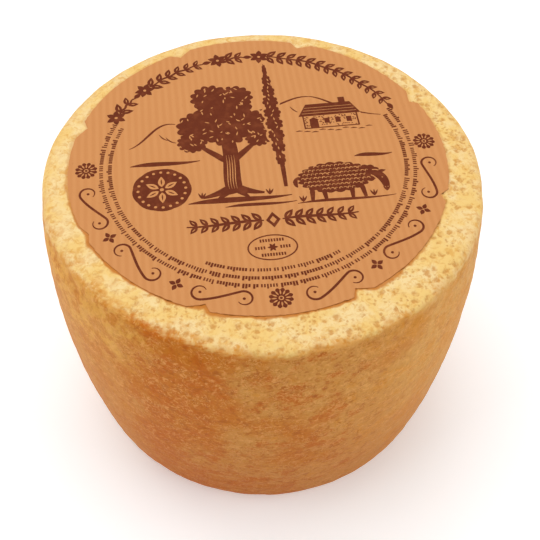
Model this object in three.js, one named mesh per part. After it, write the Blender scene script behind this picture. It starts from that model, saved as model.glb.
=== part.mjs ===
// A whole pressed cheese wheel: a tall drum with a rounded foot and a paper label on its top face.
// Millimetres, +Z up. The origin is the centre of the foot, on the surface that the wheel stands on.

import * as THREE from 'three';

// Driving dimensions of the wheel.
const WHEEL_HEIGHT = 115;
const TOP_EDGE_RADIUS = 76.2;
const FOOT_RADIUS = 74.4;
const SIDE_BULGE = 4.0;
const TOP_EDGE_DROP = 3.0;
const FOOT_CURVE_RUN = 7.5;
const FOOT_CURVE_RISE = 9.0;

// Driving dimensions of the paper label.
const BARE_RIM = 9.6;
const LABEL_DRIFT_X = -1.4;
const LABEL_DRIFT_Y = 4.1;
const LABEL_TURN_DEGREES = 7;
const PAPER_THICKNESS = 0.3;
const NOTCH_COUNT = 8;
const NOTCH_DEPTH = 2.7;
const NOTCH_WIDTH = 6.5;

// How far the flat of the top face runs past the label where the label comes nearest to the edge.
const SEAT_CLEARANCE = 0.7;

// Steps that the round shapes are drawn with.
const WHEEL_SEGMENTS = 96;
const SIDE_STEPS = 16;
const TOP_EDGE_STEPS = 5;
const FOOT_STEPS = 7;
const LABEL_ARC_STEPS = 14;

// The label is cut to leave a bare rim, and the flat of the top face reaches past it all round.
const labelRadius = TOP_EDGE_RADIUS - BARE_RIM;
const labelDrift = Math.hypot(LABEL_DRIFT_X, LABEL_DRIFT_Y);
const flatTopRadius = labelRadius + labelDrift + SEAT_CLEARANCE;

// Colours as they look on the finished piece.
const rindMaterial = new THREE.MeshStandardMaterial({
  color: 0xcb9149,
  roughness: 0.68,
  metalness: 0,
});
const paperMaterial = new THREE.MeshStandardMaterial({
  color: 0xd6975f,
  roughness: 0.85,
  metalness: 0,
});

// A quarter of an ellipse in the profile plane, from its start angle on, in the given number of steps.
function quarterEllipse(centreRadius, centreHeight, run, rise, startAngle, steps) {
  const points = [];
  for (let step = 0; step <= steps; step += 1) {
    const angle = startAngle + (step / steps) * (Math.PI / 2);
    const radius = centreRadius + run * Math.cos(angle);
    const height = centreHeight + rise * Math.sin(angle);
    points.push(new THREE.Vector2(radius, height));
  }
  return points;
}

// The side between the foot's curve and the top edge, standing out in a shallow arc.
function sidePoints() {
  const lowest = FOOT_CURVE_RISE;
  const highest = WHEEL_HEIGHT - TOP_EDGE_DROP;
  const points = [];
  for (let step = 1; step < SIDE_STEPS; step += 1) {
    const share = step / SIDE_STEPS;
    const straight = FOOT_RADIUS + (TOP_EDGE_RADIUS - FOOT_RADIUS) * share;
    const radius = straight + SIDE_BULGE * Math.sin(Math.PI * share);
    points.push(new THREE.Vector2(radius, lowest + (highest - lowest) * share));
  }
  return points;
}

// The wheel's half section, from the middle of the foot round to the middle of the top face.
function wheelProfile() {
  const footCentre = FOOT_RADIUS - FOOT_CURVE_RUN;
  const foot = quarterEllipse(
    footCentre, FOOT_CURVE_RISE, FOOT_CURVE_RUN, FOOT_CURVE_RISE, -Math.PI / 2, FOOT_STEPS,
  );
  const edgeRun = TOP_EDGE_RADIUS - flatTopRadius;
  const edgeCentre = WHEEL_HEIGHT - TOP_EDGE_DROP;
  const topEdge = quarterEllipse(
    flatTopRadius, edgeCentre, edgeRun, TOP_EDGE_DROP, 0, TOP_EDGE_STEPS,
  );
  return [
    new THREE.Vector2(0, 0),
    ...foot,
    ...sidePoints(),
    ...topEdge,
    new THREE.Vector2(0, WHEEL_HEIGHT),
  ];
}

function makeWheel() {
  const geometry = new THREE.LatheGeometry(wheelProfile(), WHEEL_SEGMENTS);
  geometry.rotateX(Math.PI / 2);
  const wheel = new THREE.Mesh(geometry, rindMaterial);
  wheel.name = 'cheese_wheel';
  return wheel;
}

// The label's outline: a circle with a V-shaped notch snipped into it between every two arcs.
function labelOutline() {
  const pitch = (2 * Math.PI) / NOTCH_COUNT;
  const halfNotch = NOTCH_WIDTH / 2 / labelRadius;
  const outline = new THREE.Shape();
  for (let notch = 0; notch < NOTCH_COUNT; notch += 1) {
    const notchAngle = pitch * (notch + 0.5);
    const tipRadius = labelRadius - NOTCH_DEPTH;
    const tip = [tipRadius * Math.cos(notchAngle), tipRadius * Math.sin(notchAngle)];
    if (notch === 0) {
      outline.moveTo(...tip);
    } else {
      outline.lineTo(...tip);
    }
    const arcStart = notchAngle + halfNotch;
    const arcSpan = pitch - 2 * halfNotch;
    for (let step = 0; step <= LABEL_ARC_STEPS; step += 1) {
      const angle = arcStart + (step / LABEL_ARC_STEPS) * arcSpan;
      outline.lineTo(labelRadius * Math.cos(angle), labelRadius * Math.sin(angle));
    }
  }
  outline.closePath();
  return outline;
}

function makeLabel() {
  const geometry = new THREE.ExtrudeGeometry(labelOutline(), {
    depth: PAPER_THICKNESS,
    bevelEnabled: false,
    steps: 1,
  });
  const label = new THREE.Mesh(geometry, paperMaterial);
  label.name = 'paper_label';
  label.position.set(LABEL_DRIFT_X, LABEL_DRIFT_Y, WHEEL_HEIGHT);
  label.rotation.z = THREE.MathUtils.degToRad(LABEL_TURN_DEGREES);
  return label;
}

const cheese = new THREE.Group();
cheese.name = 'labelled_cheese_wheel';
cheese.add(makeWheel(), makeLabel());

export default cheese;
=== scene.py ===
"""A whole pressed cheese wheel: a pitted, mottled rind and a printed kraft-paper label on its top face.

Metres, +Z up, -Y towards the reader of the label. The wheel stands on its foot with its axis on Z. Sizes come
from the frame where it has them; the rest are named fields of the classes below. Sizes of print on the label
are in label radii, so the artwork stays in proportion to the paper.
"""

import logging
import math
import random
from dataclasses import dataclass, field
from enum import Enum

import bpy
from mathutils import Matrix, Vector
from mathutils.geometry import delaunay_2d_cdt


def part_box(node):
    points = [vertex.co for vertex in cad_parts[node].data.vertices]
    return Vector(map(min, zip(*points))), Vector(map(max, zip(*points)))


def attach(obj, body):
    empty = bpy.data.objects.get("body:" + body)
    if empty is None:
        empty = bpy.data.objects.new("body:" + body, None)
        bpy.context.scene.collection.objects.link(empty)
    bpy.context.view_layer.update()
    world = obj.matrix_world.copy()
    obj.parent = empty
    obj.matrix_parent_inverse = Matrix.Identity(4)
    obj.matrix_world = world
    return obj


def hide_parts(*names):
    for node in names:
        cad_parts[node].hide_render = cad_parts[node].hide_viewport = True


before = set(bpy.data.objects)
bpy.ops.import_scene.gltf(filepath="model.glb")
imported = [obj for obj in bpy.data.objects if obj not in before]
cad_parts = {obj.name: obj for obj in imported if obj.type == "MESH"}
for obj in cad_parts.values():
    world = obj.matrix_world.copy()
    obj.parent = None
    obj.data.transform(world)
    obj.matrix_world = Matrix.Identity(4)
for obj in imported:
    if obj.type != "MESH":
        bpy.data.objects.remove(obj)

LOG = logging.getLogger("cheese_wheel")
MM = 0.001

Point = tuple[float, float]
Place = tuple[float, float, float]
Outline = list[Point]
Colour = tuple[float, float, float]
Piece = bpy.types.Object
Material = bpy.types.Material
Tree = bpy.types.NodeTree
Node = bpy.types.Node
Socket = bpy.types.NodeSocket
Input = Socket | float


class Slot(Enum):
    """The material slots."""

    RIND = "rind"
    PAPER = "label_paper"
    INK = "label_ink"


class Paint(Enum):
    """What one outline of a piece of artwork does to the paper under it."""

    INK = "ink"
    RESERVE = "reserve"


class Space(Enum):
    """Whether a scatter fills space or only the level plane."""

    SOLID = "3D"
    LEVEL = "2D"


class Mark(Enum):
    """What the wheel's mesh remembers at every point, for its material to read."""

    TOP_SHARE = "top_share"
    LABEL_GAP = "label_gap"


# ---- Working by hand: selection, edit mode and modifiers ----


def select_only(piece: Piece) -> None:
    """Deselects everything, then selects one piece and makes it active.

    Args:
        piece: The object that the next operators act on.
    """
    bpy.ops.object.select_all(action="DESELECT")
    piece.select_set(True)
    bpy.context.view_layer.objects.active = piece


def apply_modifiers(piece: Piece) -> None:
    """Applies every modifier on a piece, in order.

    Args:
        piece: The object whose modifiers become part of its mesh.
    """
    select_only(piece)
    for modifier in list(piece.modifiers):
        bpy.ops.object.modifier_apply(modifier=modifier.name)


def add_thickness(piece: Piece, thickness: float) -> None:
    """Adds the modifier that thickens a flat piece upwards.

    Args:
        piece: The flat piece.
        thickness: How thick it becomes.
    """
    sheet = piece.modifiers.new("thickness", "SOLIDIFY")
    sheet.thickness = thickness
    sheet.offset = 1.0


def add_nodes(piece: Piece, tree: Tree) -> None:
    """Adds the modifier that runs a geometry node group on a piece.

    Args:
        piece: The piece that the group changes.
        tree: The group.
    """
    modifier = piece.modifiers.new(tree.name, "NODES")
    modifier.node_group = tree


def inset_selected(thicknesses: tuple[float, ...]) -> None:
    """Steps the selected face inwards in edit mode, once for each thickness."""
    for thickness in thicknesses:
        bpy.ops.mesh.inset(thickness=thickness, depth=0.0)


def settle(piece: Piece) -> None:
    """Moves a piece's place, turn and size into its mesh, so that its object sits at the origin.

    Args:
        piece: The object to settle.
    """
    select_only(piece)
    bpy.ops.object.transform_apply(location=True, rotation=True, scale=True)


def finish_piece(piece: Piece, material: Material) -> None:
    """Dresses a piece and makes it ride on the wheel's body.

    Args:
        piece: The object to dress.
        material: The material that covers all of it.
    """
    piece.data.materials.clear()
    piece.data.materials.append(material)
    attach(piece, "root")
    LOG.info("%s: %d faces", piece.name, len(piece.data.polygons))


# ---- Settings that patterns are made of ----


@dataclass(frozen=True)
class Ease:
    """A soft step: from start to end while a value passes from low to high, or down from low to high."""

    low: float
    high: float
    start: float = 0.0
    end: float = 1.0


@dataclass(frozen=True)
class Texture:
    """A soft noise: features per metre, octaves on top and their strength, and a twist.

    Its place is squashed along Z, then drifts to a stretch of its own. An ease makes a mask of the noise.
    """

    scale: Input
    detail: float = 2.0
    roughness: float = 0.5
    twist: float = 0.0
    squash: float = 1.0
    drift: Place = (0.0, 0.0, 0.0)
    ease: Ease | None = None


@dataclass(frozen=True)
class Scatter:
    """Marks strewn over a surface, each of its own size, with edges torn by a noise of its own."""

    spacing: float
    rarity: float
    largest: float
    softness: float
    tear_scale: float
    tear_reach: float
    space: Space = Space.SOLID
    squash: float = 1.0
    drift: Place = (0.0, 0.0, 0.0)


@dataclass(frozen=True)
class Speck:
    """A material's flecks and grain: flecks per metre, the share of cells without one, grains per metre."""

    fleck_scale: float
    rarity: float
    grain_scale: float


@dataclass(frozen=True)
class Facing:
    """How far a place lies out one way from the axis: 0 at low and 1 at high, in radii of the top edge."""

    way: Point
    low: float
    high: float


# ---- Node trees ----


class Graph:
    """Adds nodes to one tree and links them. It serves shader and geometry trees alike."""

    def __init__(self, tree: Tree) -> None:
        """Keeps the tree.

        Args:
            tree: The shader or geometry node tree to build in.
        """
        self.tree = tree
        self.place: Socket | None = None

    def add(self, kind: str, **settings: object) -> Node:
        """Adds a node.

        Args:
            kind: The node's type name.
            **settings: Properties to set on it.

        Returns:
            The new node.
        """
        node = self.tree.nodes.new(kind)
        for name, value in settings.items():
            setattr(node, name, value)
        return node

    def feed(self, socket: Socket, value: object) -> None:
        """Links an output to an input, or sets the input's own value.

        Args:
            socket: The input.
            value: An output socket, a number, a vector or a colour.
        """
        if isinstance(value, Socket):
            self.tree.links.new(value, socket)
        else:
            socket.default_value = value

    def math(self, operation: str, *values: Input, clamp: bool = False) -> Socket:
        """Works out one arithmetic step.

        Args:
            operation: The Math node's operation.
            *values: Its inputs, sockets or numbers.
            clamp: Whether the result is kept between 0 and 1.

        Returns:
            The result's socket.
        """
        node = self.add("ShaderNodeMath", operation=operation, use_clamp=clamp)
        for socket, value in zip(node.inputs, values):
            self.feed(socket, value)
        return node.outputs[0]

    def times(self, first: Input, *others: Input) -> Socket:
        """Multiplies two or more values."""
        product = first
        for other in others:
            product = self.math("MULTIPLY", product, other)
        return product

    def plus(self, first: Input, *others: Input) -> Socket:
        """Adds up two or more values."""
        total = first
        for other in others:
            total = self.math("ADD", total, other)
        return total

    def minus(self, first: Input, second: Input) -> Socket:
        """Takes one value from another."""
        return self.math("SUBTRACT", first, second)

    def ease(self, value: Input, ease: Ease) -> Socket:
        """Eases from one number to another as a value passes between two limits.

        Args:
            value: The value to read.
            ease: The limits, and the results at them.

        Returns:
            The eased value's socket.
        """
        node = self.add("ShaderNodeMapRange", interpolation_type="SMOOTHSTEP")
        for socket, number in zip(node.inputs, (value, ease.low, ease.high, ease.start, ease.end)):
            self.feed(socket, number)
        return node.outputs[0]

    def axes(self, vector: Socket) -> tuple[Socket, Socket, Socket]:
        """A vector's three parts."""
        node = self.add("ShaderNodeSeparateXYZ")
        self.feed(node.inputs[0], vector)
        return tuple(node.outputs)

    def length(self, vector: Socket) -> Socket:
        """A vector's length."""
        node = self.add("ShaderNodeVectorMath", operation="LENGTH")
        self.feed(node.inputs[0], vector)
        return node.outputs["Value"]

    def stretch(self, vector: Socket, x: float, y: float, z: float) -> Socket:
        """Scales a vector along its three axes."""
        node = self.add("ShaderNodeVectorMath", operation="MULTIPLY")
        self.feed(node.inputs[0], vector)
        self.feed(node.inputs[1], (x, y, z))
        return node.outputs[0]

    def shift(self, vector: Socket, by: object) -> Socket:
        """Adds a vector, fixed or linked, to another."""
        node = self.add("ShaderNodeVectorMath", operation="ADD")
        self.feed(node.inputs[0], vector)
        self.feed(node.inputs[1], by)
        return node.outputs[0]

    def spot(self, at: Socket | None, squash: float, drift: Place) -> Socket:
        """Where a pattern is read.

        Args:
            at: The place, or nothing for the graph's own.
            squash: How much the place is stretched along Z.
            drift: How far it is shifted after that.

        Returns:
            The changed place.
        """
        vector = self.place if at is None else at
        if squash != 1.0:
            vector = self.stretch(vector, 1.0, 1.0, squash)
        return self.shift(vector, drift) if any(drift) else vector

    def noise_node(self, texture: Texture, at: Socket | None) -> Node:
        """Adds a soft noise.

        Args:
            texture: Its settings.
            at: Where it is read, or nothing for the graph's own place.

        Returns:
            The noise node, with its value on Fac and a vector of three on Color.
        """
        node = self.add("ShaderNodeTexNoise", noise_dimensions="3D")
        settings = {
            "Vector": self.spot(at, texture.squash, texture.drift),
            "Scale": texture.scale,
            "Detail": texture.detail,
            "Roughness": texture.roughness,
            "Distortion": texture.twist,
        }
        for name, value in settings.items():
            self.feed(node.inputs[name], value)
        return node

    def noise(self, texture: Texture, at: Socket | None = None) -> Socket:
        """A soft noise, about 0 to 1, or the mask that its ease makes of it."""
        value = self.noise_node(texture, at).outputs["Fac"]
        return self.ease(value, texture.ease) if texture.ease else value

    def warp(self, vector: Socket, scale: float, reach: float) -> Socket:
        """Pulls places about, so that what is read there has torn, uneven edges.

        Args:
            vector: The position to warp.
            scale: Features of the warp per metre.
            reach: How far a place is pulled at most, in metres.

        Returns:
            The warped position.
        """
        swirl = self.noise_node(Texture(scale, 1.0), vector).outputs["Color"]
        centred = self.shift(swirl, (-0.5, -0.5, -0.5))
        return self.shift(vector, self.stretch(centred, 2.0 * reach, 2.0 * reach, 2.0 * reach))

    def cells(self, vector: Socket, scale: Input, space: Space = Space.SOLID) -> tuple[Socket, Socket]:
        """Scatters points, one in each cell of space or of the level plane.

        Args:
            vector: Where the scatter is read.
            scale: Cells per metre.
            space: Whether the points fill space or lie in the level plane.

        Returns:
            The distance to the nearest point, in cells, and a random number of that point's own.
        """
        node = self.add("ShaderNodeTexVoronoi", voronoi_dimensions=space.value, feature="F1")
        self.feed(node.inputs["Vector"], vector)
        self.feed(node.inputs["Scale"], scale)
        return node.outputs["Distance"], self.axes(node.outputs["Color"])[0]

    def marks(self, scatter: Scatter, at: Socket | None = None) -> Socket:
        """Scatters marks over a surface.

        Args:
            scatter: Their spacing, sizes and edges.
            at: Where they are read, or nothing for the graph's own place.

        Returns:
            A mask that is 1 in the marks.
        """
        spot = self.spot(at, scatter.squash, scatter.drift)
        torn = self.warp(spot, scatter.tear_scale, scatter.tear_reach)
        distance, chance = self.cells(torn, 1.0 / scatter.spacing, scatter.space)
        radius = self.ease(chance, Ease(scatter.rarity, scatter.rarity + 0.5, 0.0, scatter.largest))
        return self.ease(self.minus(radius, distance), Ease(0.0, scatter.softness))

    def blend(self, share: Input, first: object, second: object) -> Socket:
        """Mixes two colours.

        Args:
            share: How much of the second shows.
            first: A colour or a colour socket.
            second: A colour or a colour socket.

        Returns:
            The mixed colour's socket.
        """
        node = self.add("ShaderNodeMix", data_type="RGBA")
        colour_inputs = [socket for socket in node.inputs if socket.type == "RGBA"]
        self.feed(node.inputs[0], share)
        for socket, colour in zip(colour_inputs, (first, second)):
            self.feed(socket, colour if isinstance(colour, Socket) else (*colour, 1.0))
        return next(socket for socket in node.outputs if socket.type == "RGBA")


class GeometryGraph(Graph):
    """A new geometry node group that takes one mesh and gives it back changed."""

    def __init__(self, name: str) -> None:
        """Makes the group and its two sockets.

        Args:
            name: The group's name.
        """
        tree = bpy.data.node_groups.new(name, "GeometryNodeTree")
        for way in ("INPUT", "OUTPUT"):
            tree.interface.new_socket(name="Geometry", in_out=way, socket_type="NodeSocketGeometry")
        super().__init__(tree)
        self.mesh = self.add("NodeGroupInput").outputs[0]
        self.place = self.add("GeometryNodeInputPosition").outputs[0]

    def keep(self, mark: Mark, value: Socket) -> None:
        """Stores a number at every point, for the material to read.

        Args:
            mark: What the number is.
            value: The number.
        """
        node = self.add("GeometryNodeStoreNamedAttribute", data_type="FLOAT", domain="POINT")
        for name, fed in {"Geometry": self.mesh, "Name": mark.value, "Value": value}.items():
            self.feed(node.inputs[name], fed)
        self.mesh = node.outputs[0]

    def move(self, offset: Socket) -> None:
        """Moves every point by an offset."""
        node = self.add("GeometryNodeSetPosition")
        self.feed(node.inputs["Geometry"], self.mesh)
        self.feed(node.inputs["Offset"], offset)
        self.mesh = node.outputs[0]

    def finish(self) -> Tree:
        """Gives the mesh to the group's output and returns the group."""
        self.feed(self.add("NodeGroupOutput").inputs[0], self.mesh)
        return self.tree


# ---- Shader node groups that more than one finish uses ----


class FlecksGroup:
    """A shader node group: fine flecks and grain, for the rind, the paper and the ink."""

    NAME = "flecks_and_grain"
    INPUTS = {"Fleck Scale": 400.0, "Rarity": 0.6, "Grain Scale": 900.0}
    LARGEST = 0.9
    SOFTNESS = 0.16
    GRAIN_DETAIL = 3.0
    GRAIN_ROUGHNESS = 0.62

    def __init__(self) -> None:
        """Builds the group once."""
        tree = bpy.data.node_groups.new(self.NAME, "ShaderNodeTree")
        face = tree.interface
        face.new_socket(name="Place", in_out="INPUT", socket_type="NodeSocketVector")
        for name, value in self.INPUTS.items():
            socket = face.new_socket(name=name, in_out="INPUT", socket_type="NodeSocketFloat")
            socket.default_value = value
        for name in ("Flecks", "Grain"):
            face.new_socket(name=name, in_out="OUTPUT", socket_type="NodeSocketFloat")
        graph = Graph(tree)
        entry = graph.add("NodeGroupInput").outputs
        leave = graph.add("NodeGroupOutput").inputs
        distance, chance = graph.cells(entry["Place"], entry["Fleck Scale"])
        radius = graph.times(graph.math("SUBTRACT", chance, entry["Rarity"], clamp=True), self.LARGEST)
        graph.feed(leave["Flecks"], graph.ease(graph.minus(radius, distance), Ease(0.0, self.SOFTNESS)))
        grain = Texture(entry["Grain Scale"], self.GRAIN_DETAIL, self.GRAIN_ROUGHNESS)
        graph.feed(leave["Grain"], graph.noise(grain, entry["Place"]))
        self.tree = tree

    def place(self, graph: Graph, vector: Socket, speck: Speck) -> tuple[Socket, Socket]:
        """Puts the group into a material.

        Args:
            graph: The material's graph.
            vector: Where the flecks are read.
            speck: How fine the flecks and the grain are.

        Returns:
            The mask of the flecks, and the grain, about 0 to 1.
        """
        node = graph.add("ShaderNodeGroup", node_tree=self.tree)
        values = (speck.fleck_scale, speck.rarity, speck.grain_scale)
        graph.feed(node.inputs["Place"], vector)
        for name, value in zip(self.INPUTS, values):
            graph.feed(node.inputs[name], value)
        return node.outputs["Flecks"], node.outputs["Grain"]


# ---- Patterns that shape the rind and colour it ----

WORN_WAY = (-0.66, -0.75)


@dataclass(frozen=True)
class RindPattern:
    """Where the rind is cream or brown, pitted or fibrous. The relief and the colours both read it.

    Distances from the top edge are in millimetres.
    """

    height: float
    edge_radius: float
    label_centre: Point
    label_radius: float
    ragged: Texture = Texture(260.0, 6.0, 0.75, squash=0.8, ease=Ease(0.25, 0.75, -3.4, 3.4))
    worn_side: Facing = Facing(WORN_WAY, 0.72, 0.97)
    worn_shift: float = -4.5
    bright_side: Facing = Facing((0.97, 0.25), 0.45, 0.95)
    bright_shift: float = 2.5
    pale_side: Facing = Facing((-0.97, -0.22), 0.74, 0.98)
    pale_shift: float = 5.5
    cream_line: Ease = Ease(-3.4, 1.0)
    large_pits: Scatter = Scatter(3.5 * MM, 0.08, 0.40, 0.20, 520.0, 1.0 * MM, Space.LEVEL)
    pit_floor: Texture = Texture(700.0, drift=(0.1, 0.4, 0.0), ease=Ease(0.60, 0.44, 0.30, 1.0))
    small_pits: Scatter = Scatter(
        1.7 * MM, 0.15, 0.34, 0.20, 1000.0, 0.6 * MM, Space.LEVEL, drift=(0.31, 0.17, 0.0)
    )
    pit_clumps: Texture = Texture(120.0, drift=(0.5, 0.2, 0.0), ease=Ease(0.42, 0.58, 0.15, 0.85))
    open_side: Facing = Facing((0.80, -0.60), -0.75, 0.45)
    open_share: Ease = Ease(0.0, 1.0, 0.25, 1.0)
    pitted_band: Ease = Ease(-1.0, 1.5)
    fibre: Texture = Texture(470.0, 2.0, 0.60, 1.0, 1.15)
    fold: Texture = Texture(330.0, 2.5, 0.65, 1.3, 1.2)
    thread: Ease = Ease(0.034, 0.006)
    tuft: Texture = Texture(150.0, squash=1.2, drift=(0.7, 0.2, 0.4), ease=Ease(0.42, 0.58))
    patch: Texture = Texture(95.0, 6.0, 0.78, squash=1.2)
    bloom_rise: Ease = Ease(60.0 * MM, 113.0 * MM)
    bloom_side: Facing = Facing((-0.93, -0.36), 0.50, 0.93)
    cracks: Scatter = Scatter(4.2 * MM, 0.45, 0.34, 0.18, 420.0, 1.5 * MM, squash=2.8)

    def edge_distance(self, graph: Graph) -> Socket:
        """Distance in from the top edge: positive on the top face, negative down the side."""
        x, y, z = graph.axes(graph.place)
        radius = graph.math("SQRT", graph.plus(graph.times(x, x), graph.times(y, y)))
        inwards = graph.minus(self.edge_radius, radius)
        return graph.times(graph.minus(inwards, graph.minus(self.height, z)), 1.0 / MM)

    def beyond_label(self, graph: Graph) -> Socket:
        """Distance outwards from the label's edge, in metres, negative under the label."""
        x, y = self.label_centre
        flat = graph.stretch(graph.shift(graph.place, (-x, -y, 0.0)), 1.0, 1.0, 0.0)
        return graph.minus(graph.length(flat), self.label_radius)

    def facing(self, graph: Graph, facing: Facing) -> Socket:
        """How far a place lies out towards one side of the wheel.

        Args:
            graph: The tree to build in.
            facing: The side, and how far out the share grows.

        Returns:
            The share's socket.
        """
        across = 1.0 / self.edge_radius
        dot = graph.add("ShaderNodeVectorMath", operation="DOT_PRODUCT")
        graph.feed(dot.inputs[0], graph.stretch(graph.place, across, across, 0.0))
        graph.feed(dot.inputs[1], (*facing.way, 0.0))
        return graph.ease(dot.outputs["Value"], Ease(facing.low, facing.high))

    def top_share(self, graph: Graph) -> Socket:
        """The cream top face: 1 on it, 0 down the side, with a ragged line between."""
        line = graph.plus(
            self.edge_distance(graph),
            graph.noise(self.ragged),
            graph.times(self.facing(graph, self.worn_side), self.worn_shift),
            graph.times(self.facing(graph, self.bright_side), self.bright_shift),
            graph.times(self.facing(graph, self.pale_side), self.pale_shift),
        )
        return graph.ease(line, self.cream_line)

    def pits(self, graph: Graph) -> Socket:
        """The torn little hollows of the top face."""
        flat = graph.stretch(graph.place, 1.0, 1.0, 0.0)
        large = graph.times(graph.marks(self.large_pits, flat), graph.noise(self.pit_floor, flat))
        small = graph.times(graph.marks(self.small_pits, flat), graph.noise(self.pit_clumps, flat))
        return graph.times(graph.math("MAXIMUM", large, small), self.openness(graph))

    def openness(self, graph: Graph) -> Socket:
        """How open the top's texture is: closed on the left, open on the right, and nothing past the edge."""
        share = graph.ease(self.facing(graph, self.open_side), self.open_share)
        return graph.times(share, graph.ease(self.edge_distance(graph), self.pitted_band))

    def fibres(self, graph: Graph) -> Socket:
        """The fine, curly fibres of the side, a little longer than they are tall, about 0 to 1."""
        return graph.noise(self.fibre)

    def curls(self, graph: Graph) -> Socket:
        """Thin, curly threads on the side, in loose tufts: 1 on a thread."""
        crease = graph.math("ABSOLUTE", graph.plus(graph.noise(self.fold), -0.5))
        return graph.times(graph.ease(crease, self.thread), graph.noise(self.tuft))

    def patches(self, graph: Graph) -> Socket:
        """The side's patches, a few millimetres to a few centimetres across, about 0 to 1."""
        return graph.noise(self.patch)

    def bloom(self, graph: Graph) -> Socket:
        """Where the pale rind runs down the side from its worn edge, about 0 to 1."""
        upper = graph.ease(graph.axes(graph.place)[2], self.bloom_rise)
        return graph.times(upper, self.facing(graph, self.bloom_side))

    def slits(self, graph: Graph) -> Socket:
        """The short, level cracks of the side."""
        return graph.marks(self.cracks)


@dataclass(frozen=True)
class Swell:
    """A soft rise and fall of the surface: swells per metre, and its depth from crest to hollow."""

    scale: float
    depth: float


@dataclass(frozen=True)
class RindRelief:
    """The rind's real relief, as a geometry node group that moves the wheel's surface in and out."""

    pattern: RindPattern
    broad_swell: Swell = Swell(42.0, 0.9 * MM)
    middle_swell: Swell = Swell(130.0, 0.42 * MM)
    side_swell: Swell = Swell(240.0, 0.5 * MM)
    swell_detail: float = 1.5
    clear_of_label: Ease = Ease(0.0, 3.5 * MM)
    pits_past_label: Ease = Ease(-4.0 * MM, -2.5 * MM)
    pit_depth: float = 0.4 * MM
    knocked_edge: float = -2.0
    knocked_band: Ease = Ease(8.0, 1.0)
    knock: Texture = Texture(170.0, ease=Ease(0.42, 0.72, 0.0, -0.4 * MM))
    knocked_side: Facing = Facing((0.0, -1.0), -0.2, 0.4)
    worn_side: Facing = Facing(WORN_WAY, 0.60, 0.98)
    worn_depth: float = 0.9 * MM
    above_foot: Ease = Ease(0.4 * MM, 5.0 * MM)

    def build(self) -> Tree:
        """Builds the group.

        Returns:
            The geometry node tree.
        """
        graph = GeometryGraph("rind_relief")
        top = self.pattern.top_share(graph)
        side = graph.minus(1.0, top)
        beyond = self.pattern.beyond_label(graph)
        clear = graph.math("MAXIMUM", side, graph.ease(beyond, self.clear_of_label))
        bare = graph.math("MAXIMUM", side, graph.ease(beyond, self.pits_past_label))
        swells = graph.plus(
            self.swell(graph, self.broad_swell),
            self.swell(graph, self.middle_swell),
            graph.times(self.swell(graph, self.side_swell), side),
        )
        offset = graph.plus(
            graph.times(swells, clear),
            graph.times(self.pattern.pits(graph), top, bare, -self.pit_depth),
            self.worn_edge(graph),
        )
        along = graph.add("ShaderNodeVectorMath", operation="SCALE")
        graph.feed(along.inputs[0], graph.add("GeometryNodeInputNormal").outputs[0])
        held = graph.times(offset, graph.ease(graph.axes(graph.place)[2], self.above_foot))
        graph.feed(along.inputs["Scale"], held)
        graph.keep(Mark.TOP_SHARE, top)
        graph.move(along.outputs[0])
        return graph.finish()

    def swell(self, graph: Graph, swell: Swell) -> Socket:
        """One soft rise and fall of the whole surface."""
        waves = graph.noise(Texture(swell.scale, self.swell_detail))
        return graph.times(graph.plus(waves, -0.5), swell.depth)

    def worn_edge(self, graph: Graph) -> Socket:
        """The top edge's knocks: deeper on its worn side, nothing away from the edge."""
        apart = graph.minus(self.pattern.edge_distance(graph), self.knocked_edge)
        near = graph.ease(graph.math("ABSOLUTE", apart), self.knocked_band)
        knocks = graph.times(graph.noise(self.knock), self.pattern.facing(graph, self.knocked_side))
        worn = graph.times(self.pattern.facing(graph, self.worn_side), -self.worn_depth)
        return graph.times(graph.plus(knocks, worn), near)


def label_gap(label: Piece) -> Tree:
    """Makes the geometry node group that stores on the wheel how far each place lies from the label.

    Args:
        label: The finished label.

    Returns:
        The geometry node tree.
    """
    graph = GeometryGraph("label_gap")
    sheet = graph.add("GeometryNodeObjectInfo", transform_space="RELATIVE")
    sheet.inputs["Object"].default_value = label
    nearest = graph.add("GeometryNodeProximity", target_element="FACES")
    graph.feed(nearest.inputs[0], sheet.outputs["Geometry"])
    graph.keep(Mark.LABEL_GAP, nearest.outputs["Distance"])
    return graph.finish()


# ---- Finishes ----


class Shader:
    """A new material with one Principled BSDF, ready for its nodes."""

    def __init__(self, name: str, roughness: float, gloss: float) -> None:
        """Makes the material.

        Args:
            name: The material's name.
            roughness: The roughness on the shader's own socket.
            gloss: The specular level on the shader's own socket.
        """
        self.material = bpy.data.materials.new(name)
        self.material.use_nodes = True
        self.graph = Graph(self.material.node_tree)
        self.surface = next(node for node in self.material.node_tree.nodes if node.type == "BSDF_PRINCIPLED")
        self.surface.inputs["Roughness"].default_value = roughness
        self.surface.inputs["Specular IOR Level"].default_value = gloss
        self.graph.place = self.graph.add("ShaderNodeTexCoord").outputs["Object"]

    def wear(self, colour: Socket, roughness: Socket) -> None:
        """Links the colour and the roughness that change over the surface."""
        self.graph.feed(self.surface.inputs["Base Color"], colour)
        self.graph.feed(self.surface.inputs["Roughness"], roughness)

    def emboss(self, height: Socket, depth: float) -> None:
        """Raises the surface by a height map.

        Args:
            height: The map, about 0 to 1.
            depth: How much 1 stands proud of 0, in metres.
        """
        bump = self.graph.add("ShaderNodeBump")
        self.graph.feed(bump.inputs["Height"], height)
        bump.inputs["Strength"].default_value = 1.0
        bump.inputs["Distance"].default_value = depth
        self.graph.feed(self.surface.inputs["Normal"], bump.outputs[0])


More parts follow.
